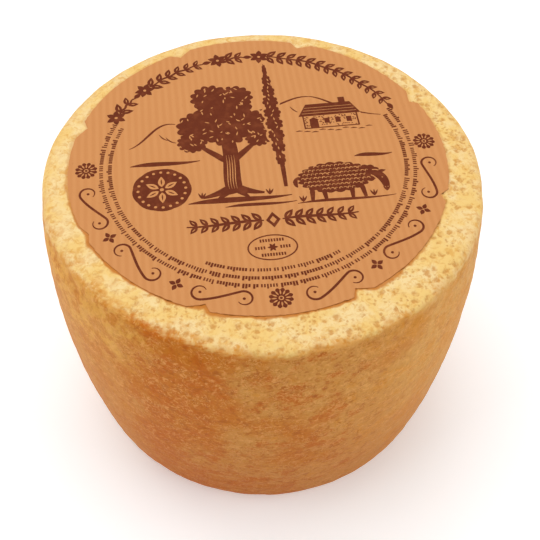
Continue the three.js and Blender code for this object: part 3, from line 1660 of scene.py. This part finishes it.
@dataclass(frozen=True)
class RingOrnaments:
    """The ornaments round the rim: scrolls, rosettes and small blossoms."""

    radius: float = 0.885
    rosette_angles: tuple[float, ...] = (178.0, -90.0, 2.2)
    rosette_radius: float = 0.058
    rosette_petals: int = 12
    blossom_angles: tuple[float, ...] = (-150.8, -122.2, -57.7, -29.5)
    blossom_petals: int = 4
    scroll_angles: tuple[float, ...] = (-164.6, -137.3, -107.7, -73.0, -44.0, -14.8)
    scroll_hands: tuple[float, ...] = (1.0, -1.0, 1.0, 1.0, -1.0, 1.0)
    eye_reach: float = 0.104
    eye_radius: float = 0.0075
    loop_radius: float = 0.043
    loop_steps: int = 18
    loop_turn: float = 250.0
    tightening: float = 0.28
    lean: float = 0.55
    slope: float = 0.36
    line_width: float = 0.0125

    def scroll(self, artwork: Artwork, degrees: float, hand: float) -> None:
        """Draws one S-shaped scroll with a dot in each curl.

        Args:
            artwork: The piece to draw in.
            degrees: Where its middle stands on the ring.
            hand: 1 or -1, for the way that it curls.
        """
        first: Outline = []
        second: Outline = []
        for step in range(self.loop_steps + 1):
            share = step / self.loop_steps
            opening = self.loop_radius * (1.0 - self.tightening + self.tightening * share)
            first.append(polar(opening, -40.0 - self.loop_turn * share, (-self.eye_reach, 0.0)))
            closing = self.loop_radius * (1.0 - self.tightening * share)
            second.append(polar(closing, -110.0 + self.loop_turn * share, (self.eye_reach, 0.0)))
        lean = self.lean * self.eye_reach
        leave = (first[-1][0] + lean, first[-1][1] - self.slope * lean)
        arrive = (second[0][0] - lean, second[0][1] + self.slope * lean)
        path = first[:-1] + curve(first[-1], leave, arrive, second[0], 12) + second[1:]
        handed = [(x, hand * y) for x, y in path]
        artwork.ink(round_the_ring(stroke(handed, self.line_width, 0.3), self.radius, degrees))
        for side in BOTH_SIDES:
            eye = oval((side * self.eye_reach, 0.0), self.eye_radius, self.eye_radius, 8)
            artwork.ink(round_the_ring(eye, self.radius, degrees))

    def scrolls(self) -> Artwork:
        """The six scrolls, each curling its own way."""
        artwork = Artwork("printed_scrolls")
        for degrees, hand in zip(self.scroll_angles, self.scroll_hands):
            self.scroll(artwork, degrees, hand)
        return artwork

    def rosettes(self) -> Artwork:
        """The large rosettes between pairs of scrolls and the small blossoms between single ones."""
        artwork = Artwork("printed_rosettes")
        for degrees in self.rosette_angles:
            centre = polar(self.radius, degrees)
            edge = self.rosette_radius
            artwork.ink(scalloped(centre, edge, edge, self.rosette_petals, 0.2, degrees))
            for petal in range(self.rosette_petals):
                spread = degrees + 360.0 / self.rosette_petals * petal
                artwork.reserve(leaf(polar(0.019, spread, centre), 0.030, 0.0085, spread, 4))
            artwork.reserve(oval(centre, 0.013, 0.013, 12))
            artwork.ink(oval(centre, 0.007, 0.007, 8))
        for degrees in self.blossom_angles:
            centre = polar(self.radius, degrees)
            for petal in range(self.blossom_petals):
                spread = degrees + 360.0 / self.blossom_petals * petal
                artwork.ink(leaf(polar(0.003, spread, centre), 0.035, 0.022, spread))
        return artwork


@dataclass(frozen=True)
class Garland:
    """The bold garland along the top of the label: four sprigs, each from a blossom to its tip."""

    radius: float = 0.832
    sprigs: tuple[tuple[float, float], ...] = ((150.5, 137.5), (132.5, 105.0), (99.5, 88.5), (83.0, 24.0))
    first_leaf: float = 0.045
    tip_room: float = 0.05
    leaf_pitch: float = 0.057
    leaf_length: float = 0.073
    leaf_width: float = 0.036
    leaf_taper: float = 0.3
    vein_width: float = 0.006
    stem_width: float = 0.013
    stem_steps: int = 24
    stem_sway: float = 0.004
    lean: float = 47.0
    blossom_petals: int = 6
    blossom_reach: float = 0.048
    blossom_width: float = 0.031

    def build(self) -> Artwork:
        """Draws the garland."""
        artwork = Artwork("printed_garland")
        for start, end in self.sprigs:
            self.sprig(artwork, start, end)
        return artwork

    def sprig(self, artwork: Artwork, start: float, end: float) -> None:
        """Draws one sprig, from its blossom clockwise to its tip.

        Args:
            artwork: The piece to draw in.
            start: The angle of its blossom, in degrees.
            end: The angle of its tip, in degrees.
        """
        length = math.radians(start - end) * self.radius
        pairs = max(2, round((length - self.tip_room) / self.leaf_pitch))
        pitch = (length - self.tip_room) / pairs
        steps = range(self.stem_steps + 1)
        stem = [(-length * step / self.stem_steps, self.stem_sway * math.sin(step)) for step in steps]
        artwork.ink(round_the_ring(stroke(stem, self.stem_width, 0.5), self.radius, start))
        for pair in range(pairs):
            x = -self.first_leaf - pitch * pair
            size = 1.0 - self.leaf_taper * pair / pairs
            for side in BOTH_SIDES:
                tilt = 180.0 - side * self.lean
                shape = leaf((x, side * 0.002), size * self.leaf_length, size * self.leaf_width, tilt)
                artwork.ink(round_the_ring(shape, self.radius, start))
                vein_length = 0.42 * self.leaf_length * size
                vein = leaf((x - 0.014, side * 0.015), vein_length, self.vein_width, tilt, 4)
                artwork.reserve(round_the_ring(vein, self.radius, start))
        tip = leaf((-length + 0.012, 0.0), 0.75 * self.leaf_length, 0.8 * self.leaf_width, 180.0)
        artwork.ink(round_the_ring(tip, self.radius, start))
        self.blossom(artwork, start)

    def blossom(self, artwork: Artwork, degrees: float) -> None:
        """Draws the blossom at a sprig's foot.

        Args:
            artwork: The piece to draw in.
            degrees: Where it stands on the ring.
        """
        for petal in range(self.blossom_petals):
            spread = 360.0 * petal / self.blossom_petals + 30.0
            shape = leaf(polar(0.008, spread), self.blossom_reach, self.blossom_width, spread)
            artwork.ink(round_the_ring(shape, self.radius, degrees))
        artwork.ink(round_the_ring(oval((0.0, 0.0), 0.018, 0.018, 12), self.radius, degrees))
        artwork.reserve(round_the_ring(oval((0.0, 0.0), 0.009, 0.009, 10), self.radius, degrees))


@dataclass(frozen=True)
class BandRow:
    """One row of milled bars: its radius and the angles where it starts and ends."""

    radius: float
    start: float
    end: float


@dataclass(frozen=True)
class MilledBands:
    """Fine milled bands round the lower part of the label: short bars in groups, with gaps between."""

    rows: tuple[BandRow, ...] = (
        BandRow(0.800, 153.0, 382.0),
        BandRow(0.755, 155.0, 380.0),
        BandRow(0.708, 243.0, 296.0),
    )
    bar_height: float = 0.0185
    tall_height: float = 0.0265
    tall_share: float = 0.25
    bar_width: float = 0.0072
    heavy_width: float = 0.0098
    heavy_share: float = 0.45
    bar_pitch: float = 0.0138
    group_gap: float = 0.6
    fewest_bars: int = 2
    most_bars: int = 9
    seed: int = 7

    def build(self) -> Artwork:
        """Draws every row of bars, in groups of uneven length."""
        artwork = Artwork("printed_bands")
        dice = random.Random(self.seed)
        for row in self.rows:
            degrees = row.start
            while degrees < row.end:
                bars = dice.randint(self.fewest_bars, self.most_bars)
                heavy = dice.random() < self.heavy_share
                for _ in range(bars):
                    if degrees > row.end:
                        break
                    width = self.heavy_width if heavy else self.bar_width
                    height = self.tall_height if dice.random() < self.tall_share else self.bar_height
                    artwork.ink(round_the_ring(block((0.0, 0.0), width, height), row.radius, degrees))
                    degrees += math.degrees(self.bar_pitch / row.radius)
                degrees += math.degrees(self.group_gap * self.bar_pitch / row.radius)
        return artwork


@dataclass(frozen=True)
class Crown:
    """One leafy clump of a tree's crown, placed from the tree's foot."""

    across: float
    up: float
    size: float

    def outline(self, foot: Point, halo: float, dip: float) -> Outline:
        """Draws the clump's edge.

        Args:
            foot: The tree's foot.
            halo: How far outside the clump the outline runs.
            dip: How far the edge dips between its lobes, as a share of its size.

        Returns:
            The outline.
        """
        edge = self.size + halo
        return scalloped(self.middle(foot), edge, 0.94 * edge, 13, dip, 90.0 * self.up)

    def middle(self, foot: Point) -> Point:
        """The clump's middle."""
        return foot[0] + self.across, foot[1] + self.up


@dataclass(frozen=True)
class Countryside:
    """The picture in the middle: trees, hills, a farm and a grazing sheep.

    Hills and ground are placed from the label's middle, and every other part from its own foot or middle.
    """

    tree_foot: Point = (-0.145, -0.215)
    poplar_foot: Point = (0.118, -0.20)
    farm: Point = (0.275, 0.20)
    sheep: Point = (0.375, -0.165)
    halo: float = 0.011
    hill_lines: tuple[Sweep, ...] = (
        Sweep((-0.66, 0.16), (-0.56, 0.20), (-0.52, 0.36), (-0.41, 0.32), 16, 0.0125, 0.3),
        Sweep((-0.41, 0.32), (-0.36, 0.30), (-0.30, 0.40), (-0.22, 0.40), 10, 0.0115, 0.5),
        Sweep((-0.03, 0.37), (0.16, 0.37), (0.22, 0.47), (0.33, 0.455), 18, 0.0115, 0.5),
        Sweep((0.33, 0.455), (0.42, 0.445), (0.50, 0.30), (0.70, 0.265), 18, 0.0125, 0.3),
    )
    slope_feet: tuple[Point, ...] = ((-0.50, 0.25), (-0.465, 0.225), (0.22, 0.385), (0.255, 0.375))
    slope_lengths: tuple[float, ...] = (0.05, 0.06, 0.04, 0.05)
    crowns: tuple[Crown, ...] = (
        Crown(0.0, 0.60, 0.165),
        Crown(-0.135, 0.50, 0.13),
        Crown(0.125, 0.50, 0.115),
        Crown(-0.06, 0.72, 0.115),
        Crown(0.07, 0.71, 0.105),
        Crown(-0.185, 0.385, 0.082),
        Crown(0.165, 0.385, 0.072),
        Crown(0.0, 0.46, 0.13),
    )
    crown_leaves: int = 10
    trunk: Sweep = Sweep((0.01, 0.0), (-0.02, 0.12), (0.025, 0.22), (0.0, 0.40), 12, 0.088, 0.85, 0.2)
    trunk_halo: float = 0.024
    root_ends: tuple[Point, ...] = ((-0.16, -0.015), (-0.085, -0.035), (0.07, -0.035), (0.15, -0.012))
    bark: Sweep = Sweep((0.0, 0.03), (-0.01, 0.1), (0.01, 0.16), (0.005, 0.27), 8, 0.0055)
    bark_lines: int = 4
    poplar_tiers: int = 9
    poplar_leaves: int = 20
    house_width: float = 0.30
    eaves: float = 0.105
    ridge: float = 0.19
    roof: tuple[Point, ...] = ((-0.02, 0.098), (0.32, 0.098), (0.275, 0.19), (0.03, 0.19))
    roof_rows: int = 3
    barn_door: tuple[Point, ...] = ((0.035, 0.0), (0.08, 0.0), (0.08, 0.07), (0.058, 0.084), (0.035, 0.07))
    windows: tuple[float, ...] = (0.115, 0.175, 0.235)
    wall_dots: int = 110
    yard_tufts: int = 10
    legs: tuple[Point, ...] = ((-0.125, -0.012), (-0.075, 0.008), (0.075, -0.008), (0.12, 0.012))
    tail: Sweep = Sweep((-0.185, 0.02), (-0.215, 0.0), (-0.21, -0.03), (-0.2, -0.05), 6, 0.024)
    fleece_rows: int = 7
    fleece_columns: int = 17
    curl_points: int = 6
    muzzle_halo: Sweep = Sweep((0.19, 0.01), (0.235, 0.0), (0.25, -0.05), (0.248, -0.095), 8, 0.066, 0.7, 0.4)
    muzzle: Sweep = Sweep((0.19, 0.01), (0.235, 0.0), (0.25, -0.05), (0.248, -0.095), 8, 0.050, 0.62, 0.4)
    ground_lines: tuple[tuple[float, float, float, float], ...] = (
        (-0.66, 0.03, 0.36, 0.030),
        (-0.38, -0.262, 0.52, 0.036),
        (-0.20, -0.305, 0.36, 0.020),
        (0.16, -0.322, 0.50, 0.018),
        (0.50, -0.03, 0.20, 0.026),
    )
    grass_feet: tuple[Point, ...] = (
        (0.55, -0.315),
        (0.62, -0.29),
        (0.19, -0.315),
        (-0.31, -0.235),
        (0.03, -0.245),
    )
    grass_spreads: tuple[float, ...] = (60.0, 85.0, 112.0)

    def build(self) -> Artwork:
        """Draws the picture from back to front."""
        artwork = Artwork("printed_scene")
        self.hills(artwork)
        self.farmhouse(artwork)
        self.ground(artwork)
        self.broad_tree(artwork)
        self.poplar(artwork)
        self.grazing_sheep(artwork)
        return artwork

    def hills(self, artwork: Artwork) -> None:
        """Draws the line of hills and the shading on its slopes."""
        artwork.ink(*(line.outline() for line in self.hill_lines))
        for foot, length in zip(self.slope_feet, self.slope_lengths):
            mark = Sweep((0.0, 0.0), (0.01, -0.02), (0.02, -0.04), (length, -0.05), 6, 0.007)
            artwork.ink(mark.outline(foot))

    def broad_tree(self, artwork: Artwork) -> None:
        """Draws the broad tree: a trunk with roots, and a crown of leafy clumps with light between leaves."""
        foot = self.tree_foot
        artwork.reserve(*(crown.outline(foot, self.halo, 0.12) for crown in self.crowns))
        artwork.reserve(self.trunk.outline(foot, self.trunk_halo))
        artwork.ink(self.trunk.outline(foot))
        for reach, drop in self.root_ends:
            pull, second_pull = (0.3 * reach, 0.012), (0.6 * reach, 0.0)
            root = Sweep((0.0, 0.06), pull, second_pull, (reach, drop), 8, 0.042, 0.3, 0.2)
            artwork.ink(root.outline(foot))
        for side in BOTH_SIDES:
            fork, elbow, end = (0.05 * side, 0.27), (0.1 * side, 0.3), (0.17 * side, 0.38)
            artwork.ink(Sweep((0.0, 0.20), fork, elbow, end, 8, 0.036, 0.4, 0.3).outline(foot))
        artwork.ink(*(crown.outline(foot, 0.0, 0.16) for crown in self.crowns))
        dice = random.Random(3)
        for crown in self.crowns:
            for _ in range(self.crown_leaves):
                reach = crown.size * math.sqrt(dice.random()) * 0.85
                spot = polar(reach, dice.uniform(0.0, 360.0), crown.middle(foot))
                artwork.reserve(leaf(spot, dice.uniform(0.016, 0.034), 0.0085, dice.uniform(20.0, 160.0), 4))
        for line in range(self.bark_lines):
            artwork.reserve(self.bark.outline((foot[0] - 0.022 + 0.013 * line, foot[1])))

    def poplar(self, artwork: Artwork) -> None:
        """Draws the slender poplar beside the broad tree."""
        x, y = self.poplar_foot
        tiers = [
            (y + 0.20 + 0.0875 * step, 0.043 * math.sin(math.pi * (0.16 + 0.098 * step)))
            for step in range(self.poplar_tiers)
        ]
        for rise, half in tiers:
            artwork.reserve(oval((x, rise), half + self.halo + 0.006, 0.066, 16))
        stem = [(x, y), (x + 0.002, y + 0.12), (x, y + 0.25)]
        artwork.reserve(stroke(stem, 0.046, 0.8))
        artwork.ink(stroke(stem, 0.024, 0.75))
        for step, (rise, half) in enumerate(tiers):
            artwork.ink(scalloped((x, rise), half + 0.006, 0.058, 9, 0.2, 25.0 * step))
        dice = random.Random(11)
        for step in range(self.poplar_leaves):
            spot = (x + dice.uniform(-0.016, 0.016), y + 0.2 + 0.032 * step)
            artwork.reserve(leaf(spot, 0.026, 0.0075, dice.uniform(60.0, 120.0), 4))

    def farmhouse(self, artwork: Artwork) -> None:
        """Draws the farm: a long house with a tiled roof, a chimney, a barn door and stippled walls."""
        x, y = self.farm
        wide = self.house_width
        artwork.reserve(block((x - 0.02, y - 0.01), wide + 0.04, self.ridge))
        artwork.ink(block((x, y), wide, self.eaves))
        artwork.reserve(block((x + 0.008, y + 0.007), wide - 0.016, self.eaves))
        artwork.ink(block((x + 0.215, y + 0.16), 0.036, 0.07))
        artwork.ink([(x + across, y + up) for across, up in self.roof])
        for row in range(self.roof_rows):
            low = y + 0.118 + 0.022 * row
            artwork.reserve(stroke([(x + 0.01 * row, low), (x + wide - 0.01 * row, low)], 0.0045, 0.9))
        artwork.ink([(x + across, y + up) for across, up in self.barn_door])
        for across in self.windows:
            artwork.ink(block((x + across, y + 0.035), 0.028, 0.038))
        dice = random.Random(5)
        for _ in range(self.wall_dots):
            spot = (x + dice.uniform(0.012, 0.288), y + dice.uniform(0.010, 0.092))
            artwork.ink(oval(spot, 0.0042, 0.0032, 5))
        for tuft in range(self.yard_tufts):
            left, low = x - 0.05 + 0.042 * tuft, y - 0.014 - 0.007 * (tuft % 3)
            artwork.ink(stroke([(left, low), (left + 0.018, low + 0.003), (left + 0.036, low)], 0.008))

    def grazing_sheep(self, artwork: Artwork) -> None:
        """Draws the sheep: a dark fleece full of pale curls, and a smooth face lowered to the grass."""
        x, y = self.sheep
        for across, lean in self.legs:
            knee = (x + across + 0.5 * lean, y - 0.09)
            leg = [(x + across, y - 0.03), knee, (x + across + lean, y - 0.15)]
            artwork.ink(stroke(leg, 0.028, 0.6, 0.2))
        artwork.ink(scalloped((x, y), 0.198, 0.108, 22, 0.10, 4.0))
        artwork.ink(scalloped((x + 0.170, y + 0.008), 0.068, 0.060, 10, 0.13, 10.0))
        artwork.ink(self.tail.outline(self.sheep))
        dice = random.Random(9)
        for row in range(self.fleece_rows):
            for column in range(self.fleece_columns):
                across = -0.176 + 0.0215 * column + (0.0105 if row % 2 else 0.0)
                up = -0.080 + 0.0265 * row
                if (across / 0.182) ** 2 + (up / 0.092) ** 2 > 1.0:
                    continue
                spin = dice.uniform(-40.0, 40.0)
                centre = (x + across, y + up)
                curl = [polar(0.0085, spin + 42.0 * step, centre) for step in range(self.curl_points)]
                artwork.reserve(stroke(curl, dice.uniform(0.0045, 0.0075), 0.4))
        artwork.reserve(self.muzzle_halo.outline(self.sheep))
        artwork.ink(self.muzzle.outline(self.sheep))
        artwork.ink(leaf((x + 0.205, y + 0.018), 0.055, 0.022, -160.0))
        artwork.ink(leaf((x + 0.222, y + 0.012), 0.045, 0.02, 8.0))
        artwork.reserve(oval((x + 0.238, y - 0.03), 0.0045, 0.0045, 6))

    def ground(self, artwork: Artwork) -> None:
        """Draws the ground: long tapering strokes under the trees and the sheep, and tufts of grass."""
        for start, height, length, width in self.ground_lines:
            pull, second_pull = (0.3 * length, 0.018), (0.7 * length, -0.014)
            line = Sweep((0.0, 0.0), pull, second_pull, (length, 0.004), 16, width, 0.12, 0.35)
            artwork.ink(line.outline((start, height)))
        for foot in self.grass_feet:
            artwork.ink(*(leaf(foot, 0.045, 0.010, spread, 4) for spread in self.grass_spreads))


@dataclass(frozen=True)
class LowerOrnaments:
    """The seal at the left, the divider under the picture and the small oval below it."""

    seal_centre: Point = (-0.506, -0.147)
    seal_radius: float = 0.150
    seal_dots: int = 20
    seal_petals: int = 6
    divider_height: float = -0.412
    divider_ends: Point = (-0.40, 0.45)
    divider_pairs: int = 7
    divider_lean: float = 50.0
    oval_centre: Point = (0.0, -0.584)
    oval_petals: int = 6
    dash_rows: tuple[float, ...] = (-0.044, 0.0, 0.044)
    dash_pitch: float = 0.0135
    dash_width: float = 0.008
    dash_height: float = 0.018

    def seal(self) -> Artwork:
        """A dark round seal with a reserved rosette inside a ring of dots."""
        artwork = Artwork("printed_seal")
        centre = self.seal_centre
        artwork.ink(scalloped(centre, self.seal_radius, 0.97 * self.seal_radius, 9, 0.025, 12.0))
        for dot in range(self.seal_dots):
            spot = polar(0.80 * self.seal_radius, 360.0 / self.seal_dots * dot, centre)
            artwork.reserve(oval(spot, 0.0085, 0.0085, 8))
        for petal in range(self.seal_petals):
            spread = 360.0 / self.seal_petals * petal + 30.0
            artwork.reserve(leaf(polar(0.018, spread, centre), 0.074, 0.036, spread, 6))
            artwork.ink(leaf(polar(0.034, spread, centre), 0.040, 0.007, spread, 4))
        artwork.reserve(oval(centre, 0.011, 0.011, 10))
        return artwork

    def divider(self) -> Artwork:
        """Two leafy sprigs that lie tip outwards from a lozenge."""
        artwork = Artwork("printed_divider")
        left, right = self.divider_ends
        middle = (0.5 * (left + right), self.divider_height)
        artwork.ink(oval(middle, 0.036, 0.050, 4))
        artwork.reserve(oval(middle, 0.017, 0.024, 4))
        for side, end in zip(BOTH_SIDES, self.divider_ends):
            self.half_divider(artwork, (middle[0] + side * 0.046, middle[1]), side, end)
        return artwork

    def half_divider(self, artwork: Artwork, foot: Point, side: float, end: float) -> None:
        """Draws one of the divider's two sprigs.

        Args:
            artwork: The piece to draw in.
            foot: Where the sprig starts, beside the lozenge.
            side: -1 for the left sprig, 1 for the right one.
            end: How far across its tip lies.
        """
        reach = end - foot[0]
        pull, second_pull = (0.3 * reach, 0.014), (0.7 * reach, -0.014)
        stem = Sweep((0.0, 0.0), pull, second_pull, (reach, 0.0), 14, 0.017, 0.4, 0.3)
        artwork.ink(stem.outline(foot))
        for pair in range(self.divider_pairs):
            share = (pair + 0.2) / (self.divider_pairs + 0.2)
            base = (foot[0] + share * reach, foot[1])
            size = 1.0 - 0.25 * share
            for up in BOTH_SIDES:
                lean = up * self.divider_lean
                spread = lean if side > 0.0 else 180.0 - lean
                artwork.ink(leaf(base, 0.074 * size, 0.036 * size, spread))
                artwork.reserve(leaf(polar(0.018, spread, base), 0.034 * size, 0.006, spread, 4))

    def small_oval(self) -> Artwork:
        """A plain oval line round a small flower and three rows of dashes."""
        artwork = Artwork("printed_oval")
        centre = self.oval_centre
        artwork.ink(oval(centre, 0.122, 0.079, 40))
        artwork.reserve(oval(centre, 0.115, 0.072, 40))
        for petal in range(self.oval_petals):
            artwork.ink(leaf(centre, 0.026, 0.013, 360.0 / self.oval_petals * petal, 4))
        for row in self.dash_rows:
            for column in range(-6, 7):
                across = self.dash_pitch * column
                inside = (across / 0.104) ** 2 + (row / 0.064) ** 2 < 0.86
                if inside and not (row == 0.0 and abs(column) < 3):
                    left = centre[0] + across - 0.5 * self.dash_width
                    low = centre[1] + row - 0.5 * self.dash_height
                    artwork.ink(block((left, low), self.dash_width, self.dash_height))
        return artwork


# ---- Studio ----


@dataclass(frozen=True)
class SoftBox:
    """One large soft light, aimed at the wheel."""

    name: str
    place: Place
    size: float
    watts: float


@dataclass(frozen=True)
class Studio:
    """A pale floor, an even white surround and large soft lights."""

    target: Vector
    boxes: tuple[SoftBox, ...] = (
        SoftBox("light_overhead", (-0.15, 0.35, 1.25), 1.1, 10.2),
        SoftBox("light_left", (-1.1, -0.3, 0.65), 0.9, 4.6),
        SoftBox("light_right", (1.15, -0.25, 0.70), 0.9, 5.4),
    )
    floor_half: float = 9.0
    surround: float = 0.34
    floor_glow: float = 0.24
    floor_roughness: float = 0.9
    floor_gloss: float = 0.2
    floor_mottle: Texture = Texture(3.0)
    floor_grey: Colour = (0.93, 0.93, 0.93)
    floor_pale: Colour = (0.95, 0.95, 0.95)
    white: Colour = (1.0, 1.0, 1.0)

    def build(self) -> None:
        """Makes the floor, the surround and the lights."""
        bpy.ops.object.select_all(action="DESELECT")
        bpy.ops.mesh.primitive_plane_add(size=2.0 * self.floor_half, location=(0.0, 0.0, 0.0))
        floor = bpy.context.object
        floor.name = floor.data.name = "studio_floor"
        shader = Shader("pale_floor", self.floor_roughness, self.floor_gloss)
        mottle = shader.graph.noise(self.floor_mottle)
        tint = shader.graph.blend(mottle, self.floor_grey, self.floor_pale)
        shader.graph.feed(shader.surface.inputs["Base Color"], tint)
        shader.surface.inputs["Emission Color"].default_value = (*self.white, 1.0)
        shader.surface.inputs["Emission Strength"].default_value = self.floor_glow
        floor.data.materials.append(shader.material)
        world = bpy.data.worlds.new("white_surround")
        world.use_nodes = True
        backdrop = next(node for node in world.node_tree.nodes if node.type == "BACKGROUND")
        backdrop.inputs["Color"].default_value = (*self.white, 1.0)
        backdrop.inputs["Strength"].default_value = self.surround
        bpy.context.scene.world = world
        for box in self.boxes:
            self.hang(box)

    def hang(self, box: SoftBox) -> None:
        """Hangs one soft light and aims it.

        Args:
            box: The light's place, size and strength.
        """
        bpy.ops.object.light_add(type="AREA", location=box.place)
        lamp = bpy.context.object
        lamp.name = lamp.data.name = box.name
        lamp.data.shape = "SQUARE"
        lamp.data.size = box.size
        lamp.data.energy = box.watts
        aim = self.target - Vector(box.place)
        lamp.rotation_euler = aim.to_track_quat("-Z", "Y").to_euler()


@dataclass(frozen=True)
class Viewpoint:
    """The camera: above and in front of the wheel, looking down on its label."""

    top_height: float
    distance: float = 0.306
    elevation: float = 45.8
    pitch: float = 52.41
    focal_length: float = 58.05
    sideways: float = 0.0144
    film_width: float = 36.0
    nearest: float = 0.01

    def build(self) -> None:
        """Places the camera and makes it the scene's."""
        rise = math.radians(self.elevation)
        place = (0.0, -self.distance * math.cos(rise), self.top_height + self.distance * math.sin(rise))
        bpy.ops.object.camera_add(location=place, rotation=(math.radians(90.0 - self.pitch), 0.0, 0.0))
        camera = bpy.context.object
        camera.name = camera.data.name = "main_camera"
        camera.data.sensor_width = self.film_width
        camera.data.lens = self.focal_length
        camera.data.shift_x = self.sideways
        camera.data.clip_start = self.nearest
        bpy.context.scene.camera = camera


# ---- Everything, in order ----

LABEL_TURN = math.radians(7.0)
PRINT_SPREAD = 1.02


def corners(bounds: tuple[Vector, Vector]) -> list[list[float]]:
    """A box's two corners as plain lists."""
    return [list(corner) for corner in bounds]


def main() -> None:
    """Builds the wheel, the label, the print and the studio, in that order."""
    logging.basicConfig(level=logging.INFO, format="%(name)s: %(message)s")
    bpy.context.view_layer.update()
    wheel_low, wheel_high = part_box("cheese_wheel")
    label_low, label_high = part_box("paper_label")
    label_centre = (0.5 * (label_low.x + label_high.x), 0.5 * (label_low.y + label_high.y))
    label_radius = 0.5 * (label_high.x - label_low.x)
    flecks = FlecksGroup()

    cheese = CheeseWheel(height=wheel_high.z, widest_radius=wheel_high.x)
    pattern = RindPattern(
        height=cheese.height,
        edge_radius=cheese.edge_radius,
        label_centre=label_centre,
        label_radius=label_radius,
    )
    wheel = cheese.build()
    cheese.weather(wheel, pattern)
    finish_piece(wheel, RindFinish(pattern).build(flecks))
    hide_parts("cheese_wheel")

    lift = PaperLift(label_centre, label_radius).build()
    label = PaperLabel(label_centre, label_radius, label_low.z, LABEL_TURN)
    paper = label.build(lift)
    finish_piece(paper, PaperFinish(LABEL_TURN).build(flecks))
    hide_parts("paper_label")
    # Stores the label's distance on the wheel, for its stain and painted contact shadow.
    cheese.stain_and_shade(wheel, paper)

    press = InkPress(
        centre=label_centre,
        radius=PRINT_SPREAD * label_radius,
        paper_top=label_low.z + label.thickness,
        turn=LABEL_TURN,
        lift=lift,
        material=InkFinish().build(flecks),
    )
    ring = RingOrnaments()
    lower = LowerOrnaments()
    artworks = (
        ring.scrolls(),
        ring.rosettes(),
        Garland().build(),
        MilledBands().build(),
        Countryside().build(),
        lower.seal(),
        lower.divider(),
        lower.small_oval(),
    )
    for artwork in artworks:
        press.print(artwork)

    Studio(target=Vector((0.0, 0.0, 0.5 * cheese.height))).build()
    Viewpoint(top_height=cheese.height).build()
    bpy.context.scene.view_settings.view_transform = "Standard"


if __name__ == "__main__":
    main()
